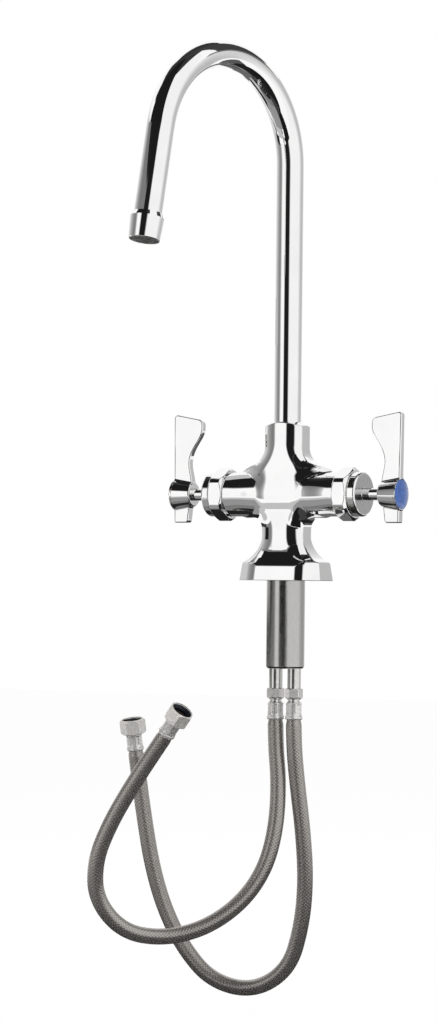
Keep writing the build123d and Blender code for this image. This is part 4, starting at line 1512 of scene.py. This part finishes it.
    def swivel_nut(self, nut: SwivelNut, node: bpy.types.Object, place: Matrix) -> bpy.types.Object:
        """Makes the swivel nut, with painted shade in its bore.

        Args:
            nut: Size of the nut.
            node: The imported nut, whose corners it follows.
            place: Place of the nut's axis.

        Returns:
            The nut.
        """
        label = self.side.label
        shape = mesh_along_axis(nut.field, nut.flats / math.sqrt(3) + 1, 0, nut.length, nut.step)
        turned = place @ Matrix.Rotation(self.nut_corner(node, place), 4, "Z")
        swivel = place_mesh(label + "_swivel_nut_threaded", *shape, turned, label + "_nut", "pale_nickel",
                            PALE_NICKEL, [label + "_swivel_nut"])
        swivel.data.materials.append(BORE_PAINTED_SHADE.material())
        inward = place.inverted()
        # Faces deep in the bore take the painted shade; the mouth keeps the pale nickel.
        relief, behind, before = self.bore_shade_margin
        for face in swivel.data.polygons:
            spot = inward @ face.center / MM
            if (math.hypot(spot.x, spot.y) < nut.relief_radius + relief
                    and nut.back - behind < spot.z < nut.length - before):
                face.material_index = 1
        return swivel

    def nut_corner(self, node: bpy.types.Object, place: Matrix) -> float:
        """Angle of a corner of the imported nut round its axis.

        Args:
            node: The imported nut.
            place: Place of the nut's axis.

        Returns:
            The angle of its farthest point, in radians.
        """
        seen = place.inverted() @ node.matrix_world
        spots = [seen @ vertex.co for vertex in node.data.vertices]
        corner = max(spots, key=lambda spot: math.hypot(spot.x, spot.y))
        return math.atan2(corner.y, corner.x)


HOT_ROUTE = (
    (-0.0073, 0.0, -0.0866),
    (-0.0073, 0.0, -0.112),
    (-0.0035, -0.001, -0.142),
    (-0.0035, -0.0045, -0.174),
    (-0.0085, -0.011, -0.2025),
    (-0.0205, -0.023, -0.2255),
    (-0.0395, -0.0395, -0.2425),
    (-0.0625, -0.0575, -0.2495),
    (-0.084, -0.0765, -0.2445),
    (-0.0975, -0.0905, -0.222),
    (-0.0955, -0.0955, -0.195),
    (-0.085, -0.094, -0.1695),
    (-0.0705, -0.0905, -0.144),
    (-0.055, -0.0875, -0.1205),
    (-0.036, -0.091, -0.098),
)
COLD_ROUTE = (
    (0.0073, 0.0, -0.0866),
    (0.0073, 0.0, -0.112),
    (0.0085, 0.004, -0.1425),
    (0.011, 0.0085, -0.1755),
    (0.0115, 0.0125, -0.21),
    (0.0075, 0.0145, -0.2425),
    (-0.0025, 0.0145, -0.274),
    (-0.029, 0.01, -0.2905),
    (-0.0595, 0.0035, -0.284),
    (-0.0805, -0.0005, -0.261),
    (-0.094, -0.004, -0.234),
    (-0.1015, -0.009, -0.204),
    (-0.106, -0.0135, -0.168),
    (-0.109, -0.0175, -0.1355),
    (-0.1095, -0.0225, -0.111),
)


# Camera and studio


Level = float | tuple[Pair, ...]


@dataclass(frozen=True)
class Screen:
    """A curved screen round the faucet that only the polished surfaces mirror.

    Attributes:
        name: Its name.
        start: Degrees round from the camera where it starts.
        end: Degrees round from the camera where it ends.
        low: Elevation of its lower edge, in degrees.
        high: Elevation of its upper edge, in degrees.
        level: Its brightness, one for white, or brightnesses at places round from the camera.
        centre: The point that it curves round, in metres.
        distance: Its distance from that point, in metres.
    """

    name: str
    start: float
    end: float
    low: float
    high: float
    level: Level
    centre: Triple = (0.0, 0.0, 0.1)
    distance: float = 1.6

    @classmethod
    def fading(cls, name: str, low: float, high: float, *falls: Pair) -> Screen:
        """A screen whose brightness changes evenly from one place round from the camera to the next."""
        return cls(name, falls[0][0], falls[-1][0], low, high, falls)


@dataclass(frozen=True)
class FloorCard:
    """A flat ring sector just above the floor that only the polished surfaces mirror.

    Attributes:
        name: Its name.
        start: Degrees round from the camera where it starts.
        end: Degrees round from the camera where it ends.
        inner: Its inner radius, in metres.
        outer: Its outer radius, in metres.
        level: Its brightness, one for white.
    """

    name: str
    start: float
    end: float
    inner: float
    outer: float
    level: float


BLACK = 0.012
SCREEN_FOOT = -10
ZENITH = 89.9
HIDDEN_FROM = ("camera", "diffuse", "transmission", "volume_scatter", "shadow")
BODY = (0.0, 0.0, 0.05)
LEFT_SHOULDER = (-0.025, 0.0, 0.085)
SCREENS = (
    Screen("front_flag", -37, -4, SCREEN_FOOT, 30, BLACK),
    Screen("right_white", 4, 84, SCREEN_FOOT, 66, 0.94),
    Screen.fading("front_flag_edge", SCREEN_FOOT, 24, (-43, 0.9), (-37, BLACK)),
    Screen.fading("front_flag_end", SCREEN_FOOT, 26, (-4, BLACK), (4, 0.9)),
    Screen.fading("left_fall", SCREEN_FOOT, 26, (-164, 0.9), (-152, 0.78), (-138, 0.70), (-126, 0.58),
                  (-114, 0.45), (-102, 0.32), (-90, 0.24), (-78, 0.20), (-70, 0.36), (-64, 0.8)),
    Screen.fading("right_fall", SCREEN_FOOT, 29, (84, 0.92), (92, 0.80), (102, 0.61), (112, 0.53),
                  (126, 0.50), (138, 0.60), (150, 0.74), (162, 0.88)),
    Screen("ceiling_edge", -108, 0, 25, 29, 0.2),
    Screen("ceiling", -96, 4, 29, ZENITH, BLACK),
    Screen("ceiling_left", -108, -96, 40, ZENITH, 0.02),
    Screen("ceiling_far_left", -136, -108, 50, ZENITH, 0.035),
    Screen("ceiling_back", 140, 224, 60, ZENITH, 0.035),
    Screen("ceiling_right", 96, 140, 34, ZENITH, 0.05),
    Screen("ceiling_right_edge", 92, 128, 27, 34, 0.16),
    Screen("ceiling_top", 4, 96, 68, ZENITH, 0.035),
    Screen("body_left_band", -107, -88, -5, 4.1, BLACK, BODY, 0.9),
    Screen("shank_left_dark", -152, -98, -9, -5, 0.04, BODY, 0.9),
    Screen("shank_front_band", -32, 10, -9, -5, BLACK, BODY, 0.9),
    Screen("shoulder_white", -160, -98, 46, 76, 0.55, LEFT_SHOULDER, 0.12),
)
FLOOR_CARDS = (
    FloorCard("floor_dark", -180, 180, 0.0, 0.22, 0.02),
    FloorCard("floor_dim", -120, -25, 0.22, 0.34, 0.2),
    FloorCard("floor_grey", -120, -25, 0.34, 0.9, 0.3),
    FloorCard("floor_pale", -112, -34, 0.9, 1.4, 0.55),
    FloorCard("floor_front_near", -25, 14, 0.22, 0.55, 0.05),
    FloorCard("floor_front_far", -25, 14, 0.55, 2.2, 0.01),
    FloorCard("floor_right", 14, 104, 0.22, 0.66, BLACK),
    FloorCard("floor_back_right", 104, 160, 0.22, 0.75, 0.015),
    FloorCard("floor_far_right", 104, 160, 0.75, 1.4, 0.1),
    FloorCard("floor_back", 160, 200, 0.22, 1.4, 0.14),
    FloorCard("floor_back_left", 200, 240, 0.22, 0.95, 0.015),
)


@dataclass(frozen=True)
class Lamp:
    """A soft square lamp that lights rough surfaces and isn't mirrored in the plate.

    Attributes:
        name: Its name.
        turn: Degrees round from the camera, to the right.
        elevation: Degrees above the horizon.
        size: Side of the square, in metres.
        power: Watts.
    """

    name: str
    turn: float
    elevation: float
    size: float
    power: float


LAMPS = (Lamp("key_lamp", -55, 35, 1.2, 38), Lamp("fill_lamp", 50, 25, 1.4, 26),
         Lamp("back_lamp", 160, 45, 1.0, 20))


@dataclass(frozen=True)
class Studio:
    """Camera at the photograph's view, white surroundings and soft lamps.

    Attributes:
        azimuth: Degrees that the camera stands round from straight ahead of the faucet, to the right.
        distance: From the spout axis to the camera, in metres.
        roll: Degrees that the camera leans.
        field: Sight covered by the image's long side at the spout axis, in metres.
        shift: Camera shift as shares of the image's long side.
        floor_height: Height of the floor under the hoses, in metres.
        sensor: Width of the camera's sensor, in millimetres.
        floor_half: Half the width of the floor, in metres.
        floor_colour: Colour of the floor.
        floor_roughness: Roughness of the floor.
        floor_glow: Share of white in what the camera sees of the floor.
        world_light: Strength of the surroundings as a light.
        lamp_distance: From the origin to each lamp, in metres.
        screen_step: Width of a screen's faces, in degrees.
        card_step: The same on a floor card.
        card_gap: Height of a floor card over the floor, in metres.
        clip: Nearest and farthest that the camera sees, in metres.
    """

    azimuth: float = 29.0
    distance: float = 2.5
    roll: float = 0.6
    field: float = 0.7168
    shift: Pair = (-0.06641, 0.06697)
    floor_height: float = -0.305
    sensor: float = 36.0
    floor_half: float = 6.0
    floor_colour: Triple = (0.8, 0.8, 0.8)
    floor_roughness: float = 0.8
    floor_glow: float = 0.97
    world_light: float = 0.45
    lamp_distance: float = 2.0
    screen_step: float = 4.0
    card_step: float = 5.0
    card_gap: float = 0.002
    clip: Pair = (0.05, 50.0)

    def camera(self) -> bpy.types.Object:
        """Makes the camera and sets it as the scene's.

        Returns:
            The camera.
        """
        turn, lean = math.radians(self.azimuth), math.radians(self.roll)
        right = Vector((math.cos(turn), math.sin(turn), 0))
        back = Vector((math.sin(turn), -math.cos(turn), 0))
        up = Vector((0, 0, 1))
        across = right * math.cos(lean) + up * math.sin(lean)
        upright = up * math.cos(lean) - right * math.sin(lean)
        data = bpy.data.cameras.new("camera")
        data.sensor_fit = "AUTO"
        data.sensor_width = self.sensor
        data.lens = self.sensor * self.distance / self.field
        data.shift_x, data.shift_y = self.shift
        data.clip_start, data.clip_end = self.clip
        camera = add_object("camera", data)
        turned = Matrix((across, upright, back)).transposed().to_4x4()
        camera.matrix_world = Matrix.Translation(back * self.distance) @ turned
        bpy.context.scene.camera = camera
        return camera

    def direction(self, round_from_camera: float, elevation: float) -> Vector:
        """Direction as seen from the middle of the faucet.

        Args:
            round_from_camera: Degrees round from the camera, to the right.
            elevation: Degrees above the horizon.

        Returns:
            The direction, one long.
        """
        turn = math.radians(self.azimuth + round_from_camera)
        tilt = math.radians(elevation)
        return Vector((math.sin(turn) * math.cos(tilt), -math.cos(turn) * math.cos(tilt), math.sin(tilt)))

    def surroundings(self) -> None:
        """Makes the world: soft grey light, white where the camera or a mirror-like surface sees it."""
        world = bpy.data.worlds.new("studio_white")
        world.use_nodes = True
        graph = NodeGraph(world.node_tree)
        light = graph.add("ShaderNodeBackground")
        light.inputs["Color"].default_value = WHITE_COLOUR
        strength = graph.spread(graph.seen_directly(), self.world_light, 1.0, 0.0, 1.0)
        graph.link(strength, light.inputs["Strength"])
        graph.link(light.outputs[0], graph.add("ShaderNodeOutputWorld").inputs["Surface"])
        bpy.context.scene.world = world

    def floor(self) -> bpy.types.Object:
        """Makes the plain pale floor under the hoses, white to the camera apart from the shadow on it.

        Returns:
            The floor.
        """
        half = self.floor_half
        mesh = bpy.data.meshes.new("floor")
        corners = [(-half, -half, 0), (half, -half, 0), (half, half, 0), (-half, half, 0)]
        mesh.from_pydata(corners, [], [(0, 1, 2, 3)])
        floor = add_object("floor", mesh)
        floor.location = (0, 0, self.floor_height)
        graph = MaterialGraph("pale_floor", colour=(*self.floor_colour, 1), roughness=self.floor_roughness)
        glow = graph.add("ShaderNodeEmission")
        glow.inputs["Color"].default_value = WHITE_COLOUR
        mix = graph.add("ShaderNodeMixShader")
        graph.link(graph.maths("MULTIPLY", graph.seen_directly(), self.floor_glow), mix.inputs["Fac"])
        graph.link(graph.shader.outputs["BSDF"], mix.inputs[1])
        graph.link(glow.outputs["Emission"], mix.inputs[2])
        graph.link(mix.outputs["Shader"], graph.output.inputs["Surface"])
        mesh.materials.append(graph.material)
        return floor

    def lamp(self, lamp: Lamp) -> None:
        """Hangs one lamp.

        Args:
            lamp: Its place and power.
        """
        data = bpy.data.lights.new(lamp.name, "AREA")
        data.shape = "SQUARE"
        data.size = lamp.size
        data.energy = lamp.power
        hung = add_object(lamp.name, data)
        out = self.direction(lamp.turn, lamp.elevation)
        hung.location = out * self.lamp_distance
        hung.rotation_mode = "QUATERNION"
        hung.rotation_quaternion = out.to_track_quat("Z", "Y")
        hung.visible_glossy = False

    def screen(self, screen: Screen) -> None:
        """Makes one curved screen.

        Args:
            screen: Its place and brightness.
        """
        across, upward = (np.linspace(start, end, max(3, int(abs(end - start) / self.screen_step)))
                          for start, end in ((screen.start, screen.end), (screen.low, screen.high)))
        middle = Vector(screen.centre)
        rows = [[self.direction(a, e) * screen.distance + middle for a in across] for e in upward]
        level = screen.level
        if isinstance(level, tuple):
            level = np.tile(np.interp(across, *zip(*level)), len(rows)).astype(np.float32)
        self.card(screen.name, rows, level)

    def floor_card(self, card: FloorCard) -> None:
        """Lays one card on the floor.

        Args:
            card: Its place and brightness.
        """
        across = np.linspace(card.start, card.end, max(3, int(abs(card.end - card.start) / self.card_step)))
        height = Vector((0, 0, self.floor_height + self.card_gap))
        rows = [[self.direction(a, 0) * reach + height for a in across] for reach in (card.inner, card.outer)]
        self.card(card.name, rows, card.level)

    def card(self, name: str, rows: list[list[Vector]], level: float | Array) -> None:
        """Makes a glowing card that only the polished surfaces mirror.

        Args:
            name: Name of the card.
            rows: Rows of points, all as long.
            level: Its brightness, one for white, or the brightness at each point.
        """
        width = len(rows[0])
        mesh = bpy.data.meshes.new(name)
        corners = [r * width + c for r in range(len(rows) - 1) for c in range(width - 1)]
        mesh.from_pydata([tuple(point) for row in rows for point in row], [],
                         [(k, k + 1, k + width + 1, k + width) for k in corners])
        made = add_object(name, mesh)
        graph = MaterialGraph(name, colour=BLACK_COLOUR, specular=0.0, glow_colour=WHITE_COLOUR)
        if isinstance(level, np.ndarray):
            mesh.attributes.new("level", "FLOAT", "POINT").data.foreach_set("value", level)
            value = graph.add("ShaderNodeAttribute", attribute_name="level")
            graph.link(value.outputs["Fac"], graph.shader.inputs["Emission Strength"])
        else:
            graph.shader.inputs["Emission Strength"].default_value = level
        mesh.materials.append(graph.material)
        for ray in HIDDEN_FROM:
            setattr(made, "visible_" + ray, False)

    def build(self) -> None:
        """Makes the whole studio."""
        self.camera()
        self.surroundings()
        self.floor()
        for make, rows in ((self.lamp, LAMPS), (self.screen, SCREENS), (self.floor_card, FLOOR_CARDS)):
            for row in rows:
                make(row)


def main() -> None:
    """Builds the faucet's looks piece by piece."""
    logging.basicConfig(level=logging.INFO, format="%(name)s: %(message)s")
    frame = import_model()
    bpy.context.scene.view_settings.view_transform = "Standard"
    dress_carried_nodes(frame)
    Studio().build()
    lines = [SupplyLine(Side.HOT, HOT_ROUTE, 0.3995), SupplyLine(Side.COLD, COLD_ROUTE, 0.434)]
    for line in lines:
        line.hose()
    for line in lines:
        line.fittings(frame, Ferrule(), Nipple(), SwivelNut())
    ValveBody().build()
    Bonnet().build()
    Lever().build()


if __name__ == "__main__":
    main()
